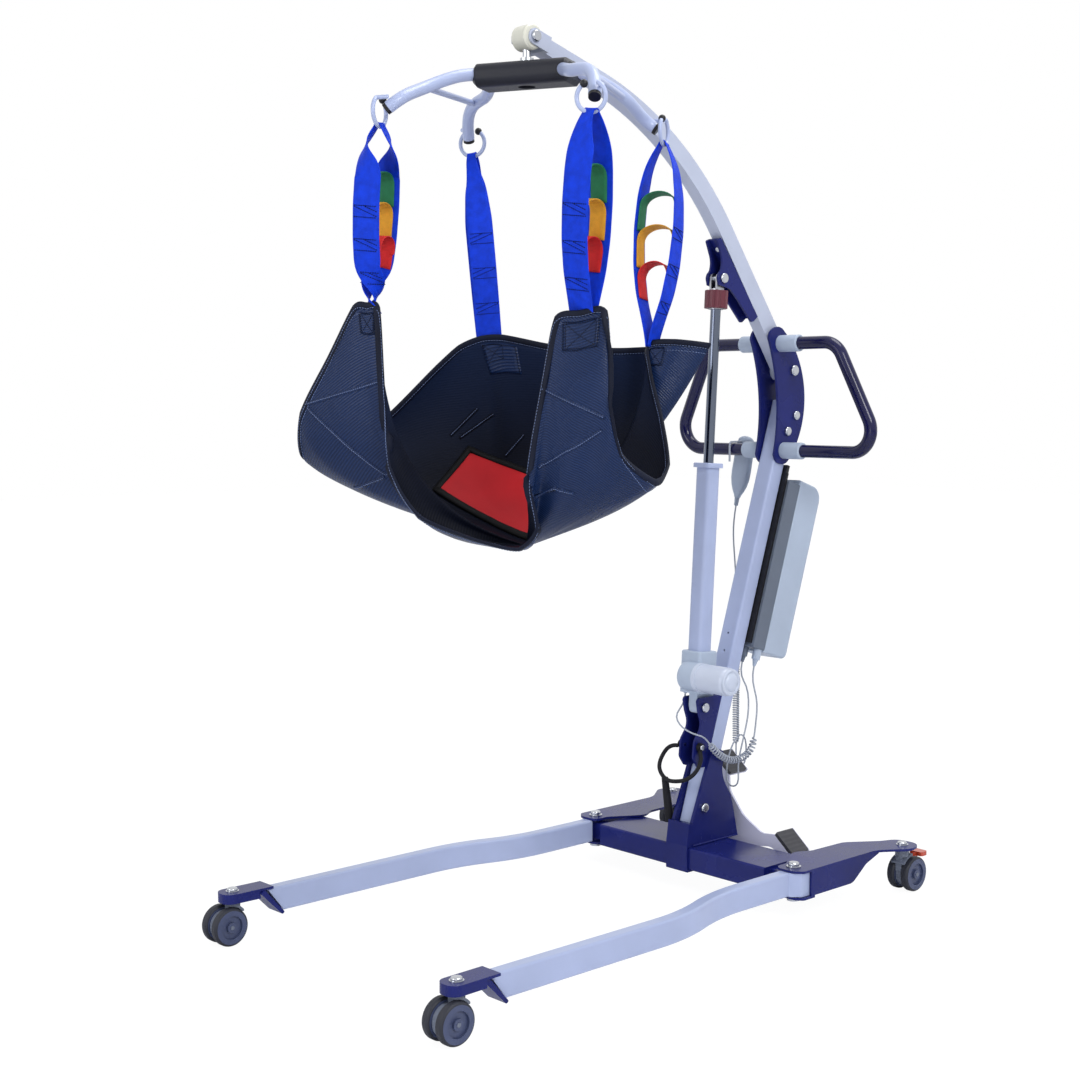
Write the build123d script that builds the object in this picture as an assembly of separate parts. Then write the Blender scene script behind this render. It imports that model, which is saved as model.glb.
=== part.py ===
from build123d import *
import math
import os

os.makedirs("parts", exist_ok=True)

# ---------------------------------------------------------------- driving sizes
# Frame: millimetres, +Z up, floor at Z 0, -Y is the front (toe) end, +X the left
# leg, origin on the floor midway between the two leg pivots.

# Running clearances
gap_fit = 0.05          # shaft in its hole, per side
gap_side = 0.5          # washer gap beside a turning piece
gap_soft = 0.4          # cloth and cords beside their neighbours

# Base
beam_half = 240.0       # cross beam, half length along X
beam_front, beam_rear = -35.0, 95.0
beam_low, beam_top = 46.0, 95.0
beam_wall = 4.0
pivot_x = 290.0         # leg pivot, from the middle
sleeve_r = 17.0
rocker_z = 97.0         # height of the foot rocker's shaft
rocker_y = 140.0        # middle of the rocker plate
rocker_tilt = 40.0      # degrees, near side down at rest
shaft_r = 8.0
pivot_bolt_r = 8.0

# Legs
leg_wide, leg_wall = 28.0, 3.0
leg_rear_x, leg_front_x = 288.0, 334.0
leg_bend_start, leg_bend_end = -170.0, -450.0
leg_front_y = -872.0
plate_t = 5.0
plate_low = beam_top + 1.0
plate_top = plate_low + plate_t
leg_open = 15.0         # each leg opens this far, degrees

# Casters
front_caster = (342.0, -940.0)
rear_caster = (338.0, 308.0)
wheel_r, wheel_wide = 37.5, 21.0
wheel_gap = 16.0        # between the two wheels of one caster
trail = 18.0
axle_r = 4.0
caster_stem_r = 6.0
caster_top = 93.0

# Mast
mast_wide, mast_deep, mast_wall = 44.0, 40.0, 3.0
mast_lean = 18.1        # degrees back from upright
mast_foot = (-23.7, 97.0)   # front face at the foot, (Y, Z)
mast_long = 1008.0
socket_t = 8.0
socket_bolt = (13.0, 175.0)
head_bolts = ((311.0, 1020.0), (282.0, 985.0))

# Arm and its linkage, all as (Y, Z)
arm_pivot = (303.0, 1120.0)
rod_pin = (76.0, 1314.0)
foot_pin = (22.0, 392.0)
hang_pin = (-474.0, 1742.0)
arm_rise, tip_rise = 54.0, 17.0     # degrees above level, lower run and tip run
arm_wide, arm_wall = 30.0, 3.0
arm_deep_low, arm_deep_tip = 44.0, 30.0
arm_bend_r = 740.0
arm_bolt_r = 8.0
arm_travel = 55.0       # degrees down from the top

# Head
head_t = 6.0
head_gap = mast_wide / 2 + 0.3

# Push handles
handle_r, handle_bore = 14.0, 11.5
handle_top, handle_low = (258.0, 1179.0), (272.0, 942.0)
handle_corner_top, handle_corner_low = 180.0, 296.0
handle_bend = 50.0
collar_r, collar_long = 18.5, 54.0

# Actuator
rod_r, rod_bore_gap = 11.0, 0.05
fork_gap, fork_t, fork_wide = 12.0, 5.0, 20.0
pin_r = 6.0
case_half = 20.0        # outer tube, half width
case_end = 528.0        # along the actuator from its foot pin
gear_half, gear_low, gear_high = 29.0, 31.0, 122.0
motor_r, motor_long = 32.0, 88.0
motor_front, motor_up = -26.0, 67.6     # motor axis, from the actuator axis and foot pin
spin_collar_r, spin_collar_tall = 25.0, 38.0
slot_back, slot_drop = 28.5, 9.5        # how far the foot pin wanders in its slot

# Hanger: turned about the upright swivel axis
hanger_turn = 26.3      # degrees, rest position
hook_p, hook_q = 205.0, 205.0
hook_z = hang_pin[1] - 157.0
cover_drop, cover_deep = 47.0, 45.0     # below the hanger pin; height
cover_top = hang_pin[1] - cover_drop
cover_low = cover_top - cover_deep
arm_z = cover_low + 28.0
tube_r = 12.0
ring_r, ring_wire = 27.0, 4.0
block_r, block_half = 24.0, 20.0

# Lock bail on the foot bracket
bail_pin = (4.0, 308.0)
bail_pin_r = 4.0
bail_wire = 4.5

# Control box, in the mast's own directions
box_half = 40.0
box_low, box_high = 452.0, 846.0
button_r = 9.0
rail_t, base_deep, pack_deep = 6.0, 40.0, 80.0


# ---------------------------------------------------------------- small tools
def outline(points):
    """Closed face from (u, v) points; a third value rounds that corner."""
    face = make_face(Polyline([(p[0], p[1]) for p in points], close=True))
    for point in points:
        if len(point) == 3:
            corner = face.vertices().sort_by_distance(Vector(point[0], point[1], 0))[0]
            face = fillet(corner, point[2])
    return face


def side_plate(points, x_low, x_high):
    """Plate seen from the side: (Y, Z) outline between two X values."""
    return extrude(Plane.YZ.offset(x_low) * outline(points), x_high - x_low)


def flat_plate(points, z_low, z_high):
    """Plate seen from above: (X, Y) outline between two heights."""
    return extrude(Plane.XY.offset(z_low) * outline(points), z_high - z_low)


def block(low, high):
    size = [b - a for a, b in zip(low, high)]
    middle = [(a + b) / 2 for a, b in zip(low, high)]
    return Pos(*middle) * Box(*size)


def rod(start, end, radius):
    """Round bar between two points."""
    start, end = Vector(*start), Vector(*end)
    span = end - start
    base = Plane(origin=start, z_dir=span)
    return extrude(base * Circle(radius), span.length)


def x_pin(y, z, x_low, x_high, radius):
    return rod((x_low, y, z), (x_high, y, z), radius)


def bent_tube(points, radii, radius, bore=0.0):
    """Tube of constant section along straight runs and tangent arcs."""
    path = FilletPolyline(*points, radius=radii)
    start = Plane(origin=path @ 0, z_dir=path % 0)
    ring = start * Circle(radius)
    if bore:
        ring -= start * Circle(bore)
    return sweep(ring, path=path)


def hex_head(centre, axis, across, tall):
    base = Plane(origin=centre, z_dir=axis)
    return extrude(base * RegularPolygon(across / math.sqrt(3), 6), tall)


def dome_head(centre, axis, radius, tall):
    """Bolt head with a rounded crown."""
    base = Plane(origin=centre, z_dir=axis)
    head = extrude(base * Circle(radius), tall)
    return fillet(head.edges().group_by(Axis(centre, axis))[-1], tall * 0.45)


def mirror_x(shape):
    return mirror(shape, about=Plane.YZ)


def save(name, *solids):
    """One node: the solids stay separate bodies in one file."""
    parts = [s for shape in solids for s in shape.solids()]
    whole = parts[0] if len(parts) == 1 else Compound(children=parts)
    whole.label = name
    export_step(whole, f"parts/{name}.step")
    print(f"{name:22s} {len(parts)} solids")


def mast_at(up, back):
    """(Y, Z) of a point given along the mast and behind its front face."""
    s, c = math.sin(math.radians(mast_lean)), math.cos(math.radians(mast_lean))
    return (mast_foot[0] + up * s + back * c, mast_foot[1] + up * c - back * s)


# ---------------------------------------------------------------- base
def cross_beam():
    beam = block((-beam_half, beam_front, beam_low), (beam_half, beam_rear, beam_top))
    beam = fillet(beam.edges().filter_by(Axis.X), 5)
    inner = block((-beam_half + beam_wall, beam_front + beam_wall, beam_low + beam_wall),
                  (beam_half - beam_wall, beam_rear - beam_wall, beam_top - beam_wall))
    beam -= inner
    for side in (-1, 1):
        arm = block((min(side * (beam_half - 1), side * pivot_x), -14, beam_low + 6),
                    (max(side * (beam_half - 1), side * pivot_x), 14, beam_top - 6))
        sleeve = rod((side * pivot_x, 0, beam_low - 0.45), (side * pivot_x, 0, plate_low - gap_fit),
                     sleeve_r)
        beam += arm + sleeve
    for side in (-1, 1):
        beam -= Pos(side * pivot_x, 0, (beam_low + beam_top) / 2) * Cylinder(
            pivot_bolt_r + gap_fit, 2 * (beam_top - beam_low))
    post = [(-20, beam_low + 10), (20, beam_low + 10), (20, rocker_z, 8), (12, rocker_z + 17, 8),
            (-12, rocker_z + 17, 8), (-20, rocker_z, 8)]
    beam += extrude(Plane.XZ.offset(-beam_rear - 10) * outline(post), 11)
    beam += rod((0, beam_rear + 5, rocker_z), (0, rocker_y + 14, rocker_z), shaft_r)
    return beam


def leg_pivot_bolts():
    bolts = []
    for side in (-1, 1):
        x = side * pivot_x
        shank = rod((x, 0, beam_low - 14), (x, 0, plate_top + 2.5), pivot_bolt_r)
        washer = rod((x, 0, plate_top + 0.3), (x, 0, plate_top + 2.6), 15)
        head = dome_head((x, 0, plate_top + 2.6), (0, 0, 1), 11.5, 8)
        nut = rod((x, 0, beam_low - 14), (x, 0, beam_low - plate_t - 1.0), 13)
        bolts.append(shank + washer + head + nut)
    return bolts


def mast_socket():
    """Two flared cheeks welded on the beam and the strap that wraps its front."""
    cheek_in = mast_wide / 2 + 0.3
    cheek_out = cheek_in + socket_t
    front_foot = mast_at(48, -14)
    cheek = [(beam_front + 8, beam_top), (front_foot[0], front_foot[1], 30),
             (*mast_at(216, -2), 6), (*mast_at(216, 38), 14), (*mast_at(165, 44), 60),
             (104, 185, 60), (126, beam_top)]
    parts = side_plate(cheek, cheek_in, cheek_out) + side_plate(cheek, -cheek_out, -cheek_in)
    strap = [(beam_front - 5, beam_low - 5, 3), (beam_front + 40, beam_low - 5),
             (beam_front + 40, beam_low - 0.2), (beam_front - 0.2, beam_low - 0.2),
             (beam_front - 0.2, beam_top + 0.2), (beam_front + 10.5, beam_top + 0.2),
             (beam_front + 13, beam_top + 51), (beam_front + 2, beam_top + 51, 1.5),
             (beam_front - 5, beam_top + 4, 8)]
    parts += side_plate(strap, -cheek_out, cheek_out)
    rear_web = side_plate([(*mast_at(15, 44),), (*mast_at(130, 44),), (*mast_at(130, 49),),
                           (*mast_at(15, 49),)], -cheek_in, cheek_in)
    parts += rear_web
    for side in (-1, 1):
        for run in ((beam_front + 12, 122),):
            x = side * (cheek_out + 1.5)
            parts += rod((x, run[0], beam_top + 2.3), (x, run[1], beam_top + 2.3), 2.2)
    return parts - x_pin(*socket_bolt, -cheek_out - 1, cheek_out + 1, 5.9 + gap_fit)


def mast_tube():
    half = mast_wide / 2
    plan = Plane(origin=(0, *mast_at(0, mast_deep / 2)), x_dir=(1, 0, 0),
                 z_dir=(0, math.sin(math.radians(mast_lean)), math.cos(math.radians(mast_lean))))
    ring = RectangleRounded(mast_wide, mast_deep, 6)
    ring -= RectangleRounded(mast_wide - 2 * mast_wall, mast_deep - 2 * mast_wall, 3)
    tube = extrude(plan * ring, mast_long)
    floor_cut = block((-half - 5, -200, 0), (half + 5, 300, beam_top + 6))
    tube -= floor_cut
    for up in (430, 470):
        tube -= rod((0, *mast_at(up, -2)), (0, *mast_at(up, 8)), 2.5)
    for y, z in (socket_bolt, *head_bolts):
        tube -= x_pin(y, z, -half - 1, half + 1, 5.9 + gap_fit)
    return tube


def frame_bolts():
    """Through bolts of the base: socket, foot pin, head plates, arm pivot."""
    cheek_out = mast_wide / 2 + 0.3 + socket_t
    bolts = []
    for (y, z), half, radius, head in (
            (socket_bolt, cheek_out, 5.9, 10.5),
            (foot_pin, mast_wide / 2, pin_r - gap_fit, 10.5),
            (arm_pivot, head_gap + head_t, arm_bolt_r, 12.0),
            (head_bolts[0], head_gap + head_t, 5.9, 10.0),
            (head_bolts[1], head_gap + head_t, 5.9, 10.0)):
        shank = x_pin(y, z, -half - 2, half + 2, radius)
        left = dome_head((half + 0.2, y, z), (1, 0, 0), head, 7)
        right = hex_head((-half - 0.2, y, z), (-1, 0, 0), head * 1.8, 8)
        bolts.append(shank + left + right)
    return bolts


def head_plates():
    """Crescent plates that join the mast to the arm pivot."""
    rear = ThreePointArc((270, 1206), (343, 1062), (290, 922))
    low = ThreePointArc((290, 922), (262, 912), (240, 934))
    front = ThreePointArc((240, 934), (250, 1062), (218, 1188))
    top = ThreePointArc((218, 1188), (238, 1214), (270, 1206))
    face = make_face([rear, low, front, top])
    plate = extrude(Plane.YZ.offset(head_gap) * face, head_t)
    for y, z, radius in ((*arm_pivot, arm_bolt_r), (*head_bolts[0], 5.9), (*head_bolts[1], 5.9)):
        plate -= x_pin(y, z, head_gap - 1, head_gap + head_t + 1, radius + gap_fit)
    return plate, mirror_x(plate)


def push_handle():
    top = head_gap + head_t + 0.2
    points = [(top, *handle_top), (handle_corner_top, *handle_top),
              (handle_corner_low, *handle_low), (top, *handle_low)]
    return bent_tube(points, [handle_bend, handle_bend], handle_r, handle_bore)


def handle_collars():
    start = head_gap + head_t + 0.1
    collars = []
    for y, z in (handle_top, handle_low):
        collar = x_pin(y, z, start, start + collar_long, collar_r)
        collar = fillet(collar.edges().sort_by(Axis.X)[-1], 3)
        collar -= x_pin(y, z, start - 1, start + collar_long + 1, handle_r + 0.1)
        collars += [collar, mirror_x(collar)]
    return collars


def actuator_mount():
    """Channel on the mast's front that carries the actuator's foot pin."""
    half = mast_wide / 2
    cheek = [(-2, 414, 8), mast_at(333, -0.2), mast_at(172, -0.2), (4, 262, 8),
             (-12, 284, 12), (-8, 322, 16), (16, 352, 30), (4, 384, 20)]
    near = side_plate(cheek, half - 5, half)
    near += x_pin(*foot_pin, half - 5, half, 15)
    channel = near + mirror_x(near)
    web = [mast_at(330, -0.2), mast_at(174, -0.2), mast_at(174, -5), mast_at(330, -5)]
    channel += side_plate(web, -half + 1, half - 1)
    channel -= x_pin(*foot_pin, -half - 1, half + 1, pin_r)
    return channel - x_pin(*bail_pin, -half - 1, half + 1, bail_pin_r)


# ---------------------------------------------------------------- controls
def mast_box(low_up, high_up, low_back, high_back, half, round_rear=0.0):
    points = [mast_at(low_up, low_back), mast_at(low_up, high_back),
              mast_at(high_up, high_back), mast_at(high_up, low_back)]
    if round_rear:
        points[1] = (*points[1], round_rear / 2)
        points[2] = (*points[2], round_rear)
    body = side_plate(points, -half, half)
    return body


stop_at = mast_at(box_high - 70, mast_deep + rail_t + 20)


def control_rail():
    rail = mast_box(box_low + 8, box_high + 4, mast_deep + 0.2, mast_deep + rail_t, 34)
    hook = mast_box(box_high + 4, box_high + 22, mast_deep + 0.2, mast_deep + rail_t + 3, 30)
    return rail + hook


def control_box():
    back = mast_deep + rail_t + 0.2
    body = mast_box(box_low, box_high - 12, back, back + base_deep, box_half)
    body = chamfer(body.edges().filter_by(Axis.X), 2)
    y, z = stop_at
    return body - x_pin(y, z, -box_half - 1, -box_half + 12, 8.0 + 0.08)


def battery_pack():
    back = mast_deep + rail_t + base_deep + 0.5
    high = back + pack_deep
    body = mast_box(box_low - 4, box_high, back, high, box_half, 30)
    outer = body.faces().filter_by(Axis.X)
    body = fillet([e for f in outer for e in f.edges()], 5)
    return body


def stop_button():
    """Mushroom emergency stop on the far side of the control box."""
    y, z = stop_at
    cap = x_pin(y, z, -box_half - 15, -box_half - 6, 14)
    cap = fillet(cap.edges().sort_by(Axis.X)[0], 4)
    return cap + x_pin(y, z, -box_half - 7, -box_half + 7, 8)


motor_plug = (29, 76, 9.5, 38)      # X, behind the mast's face, radius, length
handset_plug = (5, 62, 8.0, 34)


def plugs():
    return plug_shape(*motor_plug), plug_shape(*handset_plug)


def plug_end(x, back, radius, long):
    return (x, *mast_at(box_low - 0.2 - long, back))


def plug_below(x, back, radius, long):
    return (x, *mast_at(box_low - 28.2 - long, back))


def plug_shape(x, back, radius, long):
    top = (x, *mast_at(box_low - 0.2, back))
    low = (x, *mast_at(box_low - 0.2 - long * 0.6, back))
    end = plug_end(x, back, radius, long)
    relief = Plane(origin=low, z_dir=Vector(*end) - Vector(*low))
    cone = loft([relief * Circle(radius * 0.7), relief.offset(long * 0.4) * Circle(3.2)])
    return rod(top, low, radius) + cone


handset_at = Location((-124, 306, 890), (0, 11, 0))


def handset():
    """Grey hand control hanging behind the far push handle."""
    body = extrude(RectangleRounded(54, 26, 10), 82, both=True)
    body = fillet(body.edges().group_by(Axis.Z)[-1], 9)
    body = fillet(body.edges().group_by(Axis.Z)[0], 8)
    body = handset_at * body
    for up in (34, 8):
        spot = handset_at * Location((0, 13, up))
        body -= spot * (Rot(90, 0, 0) * Cylinder(button_r + 0.08, 12))
    return body


def handset_hook():
    """Wire hook that carries the hand control on the handle tube."""
    y, z = handle_low
    around = handle_r + gap_soft + 2.5
    points = [(-116, y + 27, z + around), (-116, y - around, z + around), (-116, y - around, z - 28)]
    return bent_tube(points, [around - 0.1], 2.5)


def handset_buttons():
    buttons = []
    for up in (34, 8):
        spot = handset_at * Location((0, 12.2, up))
        buttons.append(spot * (Rot(90, 0, 0) * Cylinder(button_r, 5.6)))
    return buttons


# ---------------------------------------------------------------- legs
def leg_path():
    """Plan line of the left leg: straight, S-bend, straight."""
    z = (beam_low + plate_low) / 2
    half_x, half_y = (leg_rear_x + leg_front_x) / 2, (leg_bend_start + leg_bend_end) / 2
    rear = Line((leg_rear_x, -26, z), (leg_rear_x, leg_bend_start, z))
    out = TangentArc((leg_rear_x, leg_bend_start, z), (half_x, half_y, z), tangent=(0, -1, 0))
    back = TangentArc((half_x, half_y, z), (leg_front_x, leg_bend_end, z), tangent=out % 1)
    front = Line((leg_front_x, leg_bend_end, z), (leg_front_x, leg_front_y - 12, z))
    return Wire([rear, out, back, front])


def leg_tube():
    tall = plate_low - beam_low
    path = leg_path()
    start = Plane(origin=path @ 0, x_dir=(1, 0, 0), z_dir=(0, -1, 0))
    ring = RectangleRounded(leg_wide, tall, 5)
    ring -= RectangleRounded(leg_wide - 2 * leg_wall, tall - 2 * leg_wall, 2.5)
    tube = sweep(start * ring, path=path)
    nose = [(leg_front_y - 14, plate_low + 1), (leg_front_y - 14, beam_low - 1),
            (leg_front_y + 38, beam_low - 1), (leg_front_y - 2, plate_low + 1)]
    tube -= side_plate(nose, leg_front_x - 40, leg_front_x + 40)
    tongue = [(leg_rear_x + leg_wide / 2 - 4, -30), (leg_rear_x + leg_wide / 2, -30),
              (leg_rear_x + leg_wide / 2 + 19, -12, 8), (leg_rear_x + leg_wide / 2 + 19, 14),
              (leg_rear_x + leg_wide / 2 + 15, 14), (leg_rear_x + leg_wide / 2 + 15, -10, 5)]
    tube += flat_plate(tongue, beam_low + 0.5, plate_low)
    return tube


def rear_bracket():
    """Plate from the leg pivot to the rear caster with its outer flange."""
    x, y = rear_caster
    top = [(262, -14, 18), (262, 10, 20), (216, 87, 30), (236, 126, 30), (240, 230, 40),
           (x - 50, y - 10, 40), (x - 34, y + 30, 30), (x + 24, y + 34, 30),
           (x + 34, y - 14, 30), (327, 230, 60), (327, -12, 14), (310, -28, 20), (270, -28, 16)]
    plate = flat_plate(top, plate_low, plate_top)
    flange = [(12, beam_low - 0.5), (12, plate_low + 1), (246, plate_low + 1), (238, 92, 20),
              (196, 78, 30), (150, beam_low - 0.5, 30)]
    plate += side_plate(flange, 322, 327)
    plate += flat_plate([(262, -24, 18), (262, 24, 18), (327, 24), (327, -12, 8), (312, -24, 10)],
                        beam_low - 0.5 - plate_t, beam_low - 0.5)
    plate -= rod((pivot_x, 0, 30), (pivot_x, 0, 110), pivot_bolt_r + gap_fit)
    return plate - rod((x, y, 80), (x, y, 110), caster_stem_r + gap_fit)


def toe_bracket():
    """Cap over the leg's front end that carries the front caster."""
    x, y = front_caster
    plate = flat_plate([(x - 24, y - 27, 20), (x + 24, y - 27, 20), (x + 22, leg_front_y + 10),
                        (x - 26, leg_front_y + 10)], plate_low, plate_top)
    skirt = flat_plate([(x - 24, y - 27, 20), (x + 24, y - 27, 20), (x + 22, leg_front_y - 20),
                        (x - 26, leg_front_y - 20)], plate_low - 14, plate_low + 1)
    skirt -= flat_plate([(x - 20, y - 23, 17), (x + 20, y - 23, 17), (x + 18, leg_front_y - 10),
                         (x - 22, leg_front_y - 10)], plate_low - 15, plate_low)
    ramp = [(leg_front_y - 12, plate_low + 1), (leg_front_y + 34, beam_low - 1, 3),
            (leg_front_y + 27, beam_low - 4, 3), (leg_front_y - 22, plate_low - 4)]
    cap = plate + skirt + side_plate(ramp, x - 30, x + 16)
    return cap - rod((x, y, 80), (x, y, 110), caster_stem_r + gap_fit)


def caster_bolt(x, y):
    shank = rod((x, y, 66), (x, y, plate_top), caster_stem_r)
    head = dome_head((x, y, plate_top), (0, 0, 1), 10.5, 7)
    washer = rod((x, y, plate_top), (x, y, plate_top + 1.5), 13)
    return shank + head + washer


# ---------------------------------------------------------------- casters
def caster_body(x, y, way, brake):
    """Centre housing between the two wheels; way is -1 when it trails forward."""
    axle = y + way * trail
    inner = wheel_gap / 2 - 0.8
    disc = x_pin(axle, wheel_r, x - inner, x + inner, 29)
    neck = rod((x, y, 60), (x, y, plate_low - gap_fit), 15)
    neck &= block((x - 15, y - 15, 2 * wheel_r + 1.5), (x + 15, y + 15, plate_low))
    saddle = block((x - inner, y - 13, wheel_r + 7), (x + inner, y + 13, 2 * wheel_r + 2))
    hood = x_pin(axle, wheel_r, x - inner - 9, x + inner + 9, 44)
    hood -= x_pin(axle, wheel_r, x - inner - 10, x + inner + 10, wheel_r + 1.5)
    hood &= block((x - 20, y - 16, 62), (x + 20, y + 16, 90))
    body = disc + neck + saddle + hood
    body += x_pin(axle, wheel_r, x - inner - wheel_wide, x + inner + wheel_wide, axle_r)
    body -= rod((x, y, 64), (x, y, plate_top), caster_stem_r + gap_fit)
    if brake:
        pin_y, pin_z = brake_pin(y, way)
        slot = [(pin_y - way * 9, pin_z - 9), (pin_y + way * 30, pin_z - 9),
                (pin_y + way * 30, pin_z + 30), (pin_y - way * 9, pin_z + 30)]
        body -= side_plate(slot, x - 4.2, x + 4.2)
        body += x_pin(pin_y, pin_z, x - inner, x + inner, 2.5)
    return body


def brake_pin(y, way):
    return (y + way * 33, 55.0)


def brake_pedal(x, y, way):
    pin_y, pin_z = brake_pin(y, way)
    arm = [(pin_y - way * 5, pin_z - 4, 3), (pin_y + way * 5, pin_z - 5, 3),
           (pin_y + way * 20, pin_z + 14), (pin_y + way * 20, pin_z + 22),
           (pin_y + way * 13, pin_z + 20)]
    lever = side_plate(arm, x - 4.0, x + 4.0)
    foot = block((x - 17, min(pin_y + way * 14, pin_y + way * 38), pin_z + 14),
                 (x + 17, max(pin_y + way * 14, pin_y + way * 38), pin_z + 23))
    foot = fillet(foot.edges().filter_by(Axis.Z), 7)
    return lever + foot - x_pin(pin_y, pin_z, x - 5, x + 5, 2.5 + gap_fit)


def wheel_pair(x, y, way):
    axle = y + way * trail
    solids = []
    for side in (-1, 1):
        low = wheel_gap / 2
        high = low + wheel_wide - 2
        ends = sorted((x + side * low, x + side * high))
        hub = x_pin(axle, wheel_r, *ends, 27)
        outer = hub.faces().sort_by(Axis.X)[-1 if side > 0 else 0]
        hub -= x_pin(axle, wheel_r, *sorted((x + side * (high - 5), x + side * (high + 1))), 23)
        hub += x_pin(axle, wheel_r, *ends, 10)
        hub -= x_pin(axle, wheel_r, ends[0] - 1, ends[1] + 1, axle_r + gap_fit)
        tyre = x_pin(axle, wheel_r, *ends, wheel_r)
        tyre = fillet(tyre.edges(), 6)
        tyre -= x_pin(axle, wheel_r, ends[0] - 1, ends[1] + 1, 27)
        solids += [hub, tyre]
    return solids


# ---------------------------------------------------------------- foot rocker
def rocker_turn(shape):
    """From the level position to the rest position, near side down."""
    pivot = Axis((0, 0, rocker_z), (0, 1, 0))
    return shape.rotate(pivot, rocker_tilt)


def rocker_plate():
    y, z = rocker_y, rocker_z
    edge = [(-146, 89.5, 3), (-84, 89.5, 6), (-62, 66, 30), (0, 54, 60), (62, 66, 30), (84, 89.5, 6),
            (146, 89.5, 3), (146, 80, 4), (96, 62, 30), (22, -22, 14), (-22, -22, 14), (-96, 62, 30),
            (-146, 80, 4)]
    face = outline([(p[0], z + p[1], *p[2:]) for p in edge])
    plate = extrude(Plane.XZ.offset(-y - 2.5) * face, 5)
    plate += rod((0, y - 9, z), (0, y + 9, z), 15)
    for side in (-1, 1):
        tray = block((side * 116 - 31, y - 2.5, z + 88), (side * 116 + 31, y + 57, z + 91))
        rim = block((side * 116 - 31, y + 54, z + 90), (side * 116 + 31, y + 57, z + 98))
        plate += tray + rim
    plate -= rod((0, y - 10, z), (0, y + 10, z), shaft_r + gap_fit)
    return rocker_turn(plate)


def rocker_pads():
    pads = []
    for side in (-1, 1):
        pad = block((side * 116 - 30, rocker_y - 2, rocker_z + 91.02),
                    (side * 116 + 30, rocker_y + 53.8, rocker_z + 99))
        pad = fillet(pad.edges().filter_by(Axis.Z), 3)
        pads.append(rocker_turn(pad))
    return pads


# ---------------------------------------------------------------- lock bail
def lock_bail():
    """Wire loop round the foot bracket's front with a hanging stem."""
    y, z = bail_pin
    side = mast_wide / 2 + 5
    path = Spline((side, y - 2, z - 8), (34, -8, 268), (20, -26, 243), (-12, -34, 233), (-46, -30, 235),
                  (-64, -27, 254), (-62, -18, 282), (-46, -14, 301), (-side - 0.5, y - 10.5, z - 2.5))
    wire = sweep(Plane(origin=path @ 0, z_dir=path % 0) * Circle(bail_wire), path=path)
    stem_low = Plane(origin=(-46, -12, 137), z_dir=(0, -0.17, 1))
    stem = extrude(stem_low * Circle(10), 99, taper=1.5)
    bail = wire + stem
    for a, b in ((side - 4, side + 4), (-side - 4, -side + 4)):
        bail += x_pin(y, z, a, b, 9)
    return bail - x_pin(y, z, -side - 6, side + 6, bail_pin_r + gap_fit)


def bail_bolts():
    side = mast_wide / 2
    bolts = []
    for way in (-1, 1):
        shank = x_pin(*bail_pin, *sorted((way * (side - 5.5), way * (side + 9.4))), bail_pin_r - 0.02)
        head = dome_head((way * (side + 9.4), *bail_pin), (way, 0, 0), 6, 3.6)
        bolts.append(shank + head)
    return bolts


# ---------------------------------------------------------------- lifting arm
def arm_side(offset_low, offset_tip):
    """One long edge of the arm: three (Y, Z) points parallel to its centre line."""
    rise, tip = math.radians(arm_rise), math.radians(tip_rise)
    low_dir = (-math.cos(rise), math.sin(rise))
    tip_dir = (-math.cos(tip), math.sin(tip))
    low_normal = (math.sin(rise), math.cos(rise))
    tip_normal = (math.sin(tip), math.cos(tip))
    tail = (arm_pivot[0] - 24 * low_dir[0], arm_pivot[1] - 24 * low_dir[1])
    nose = (hang_pin[0] - 34 * tip_dir[0], hang_pin[1] - 34 * tip_dir[1])
    offset_mid = (offset_low + offset_tip) / 2
    start = (tail[0] + offset_low * low_normal[0], tail[1] + offset_low * low_normal[1])
    end = (nose[0] + offset_tip * tip_normal[0], nose[1] + offset_tip * tip_normal[1])
    along = (math.sin(tip) * (nose[0] - tail[0]) + math.cos(tip) * (nose[1] - tail[1]))
    reach = along / (math.sin(tip) * low_dir[0] + math.cos(tip) * low_dir[1])
    corner = (tail[0] + reach * low_dir[0], tail[1] + reach * low_dir[1])
    half_turn = (rise - tip) / 2
    out = (math.sin((rise + tip) / 2), math.cos((rise + tip) / 2))
    push = offset_mid / math.cos(half_turn)
    return start, (corner[0] + push * out[0], corner[1] + push * out[1]), end


def arm_outline(inset):
    low, tip = arm_deep_low / 2 - inset, arm_deep_tip / 2 - inset
    upper, lower = arm_side(low, tip), arm_side(-low, -tip)
    return outline([lower[0], upper[0], (*upper[1], arm_bend_r + 18), upper[2],
                    lower[2], (*lower[1], arm_bend_r - 18)])


def boom_tube():
    half = arm_wide / 2
    arm = extrude(Plane.YZ.offset(-half) * arm_outline(0), arm_wide)
    arm -= extrude(Plane.YZ.offset(-half + arm_wall) * arm_outline(arm_wall), arm_wide - 2 * arm_wall)
    arm += x_pin(*arm_pivot, -head_gap + gap_side, head_gap - gap_side, arm_deep_low / 2)
    arm -= x_pin(*arm_pivot, -head_gap - 1, head_gap + 1, arm_bolt_r + gap_fit)
    tip = math.radians(tip_rise)
    ahead, up = (-math.cos(tip), math.sin(tip)), (math.sin(tip), math.cos(tip))

    def at(forward, lift):
        return (hang_pin[0] + forward * ahead[0] + lift * up[0],
                hang_pin[1] + forward * ahead[1] + lift * up[1])

    web = [at(-40, -15.5), at(-40, 15.5), at(-31, 15.5), at(-31, -15.5)]
    arm += side_plate(web, -block_half - 4.5, block_half + 4.5)
    ear = [at(-40, -15.5), at(-40, 15.5), (*at(14, 15), 14), (*at(14, -15), 14)]
    for side in (-1, 1):
        arm += side_plate(ear, *sorted((side * (block_half + 0.5), side * (block_half + 4.5))))
    return arm - x_pin(*hang_pin, -40, 40, 8.0 + gap_fit)


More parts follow.
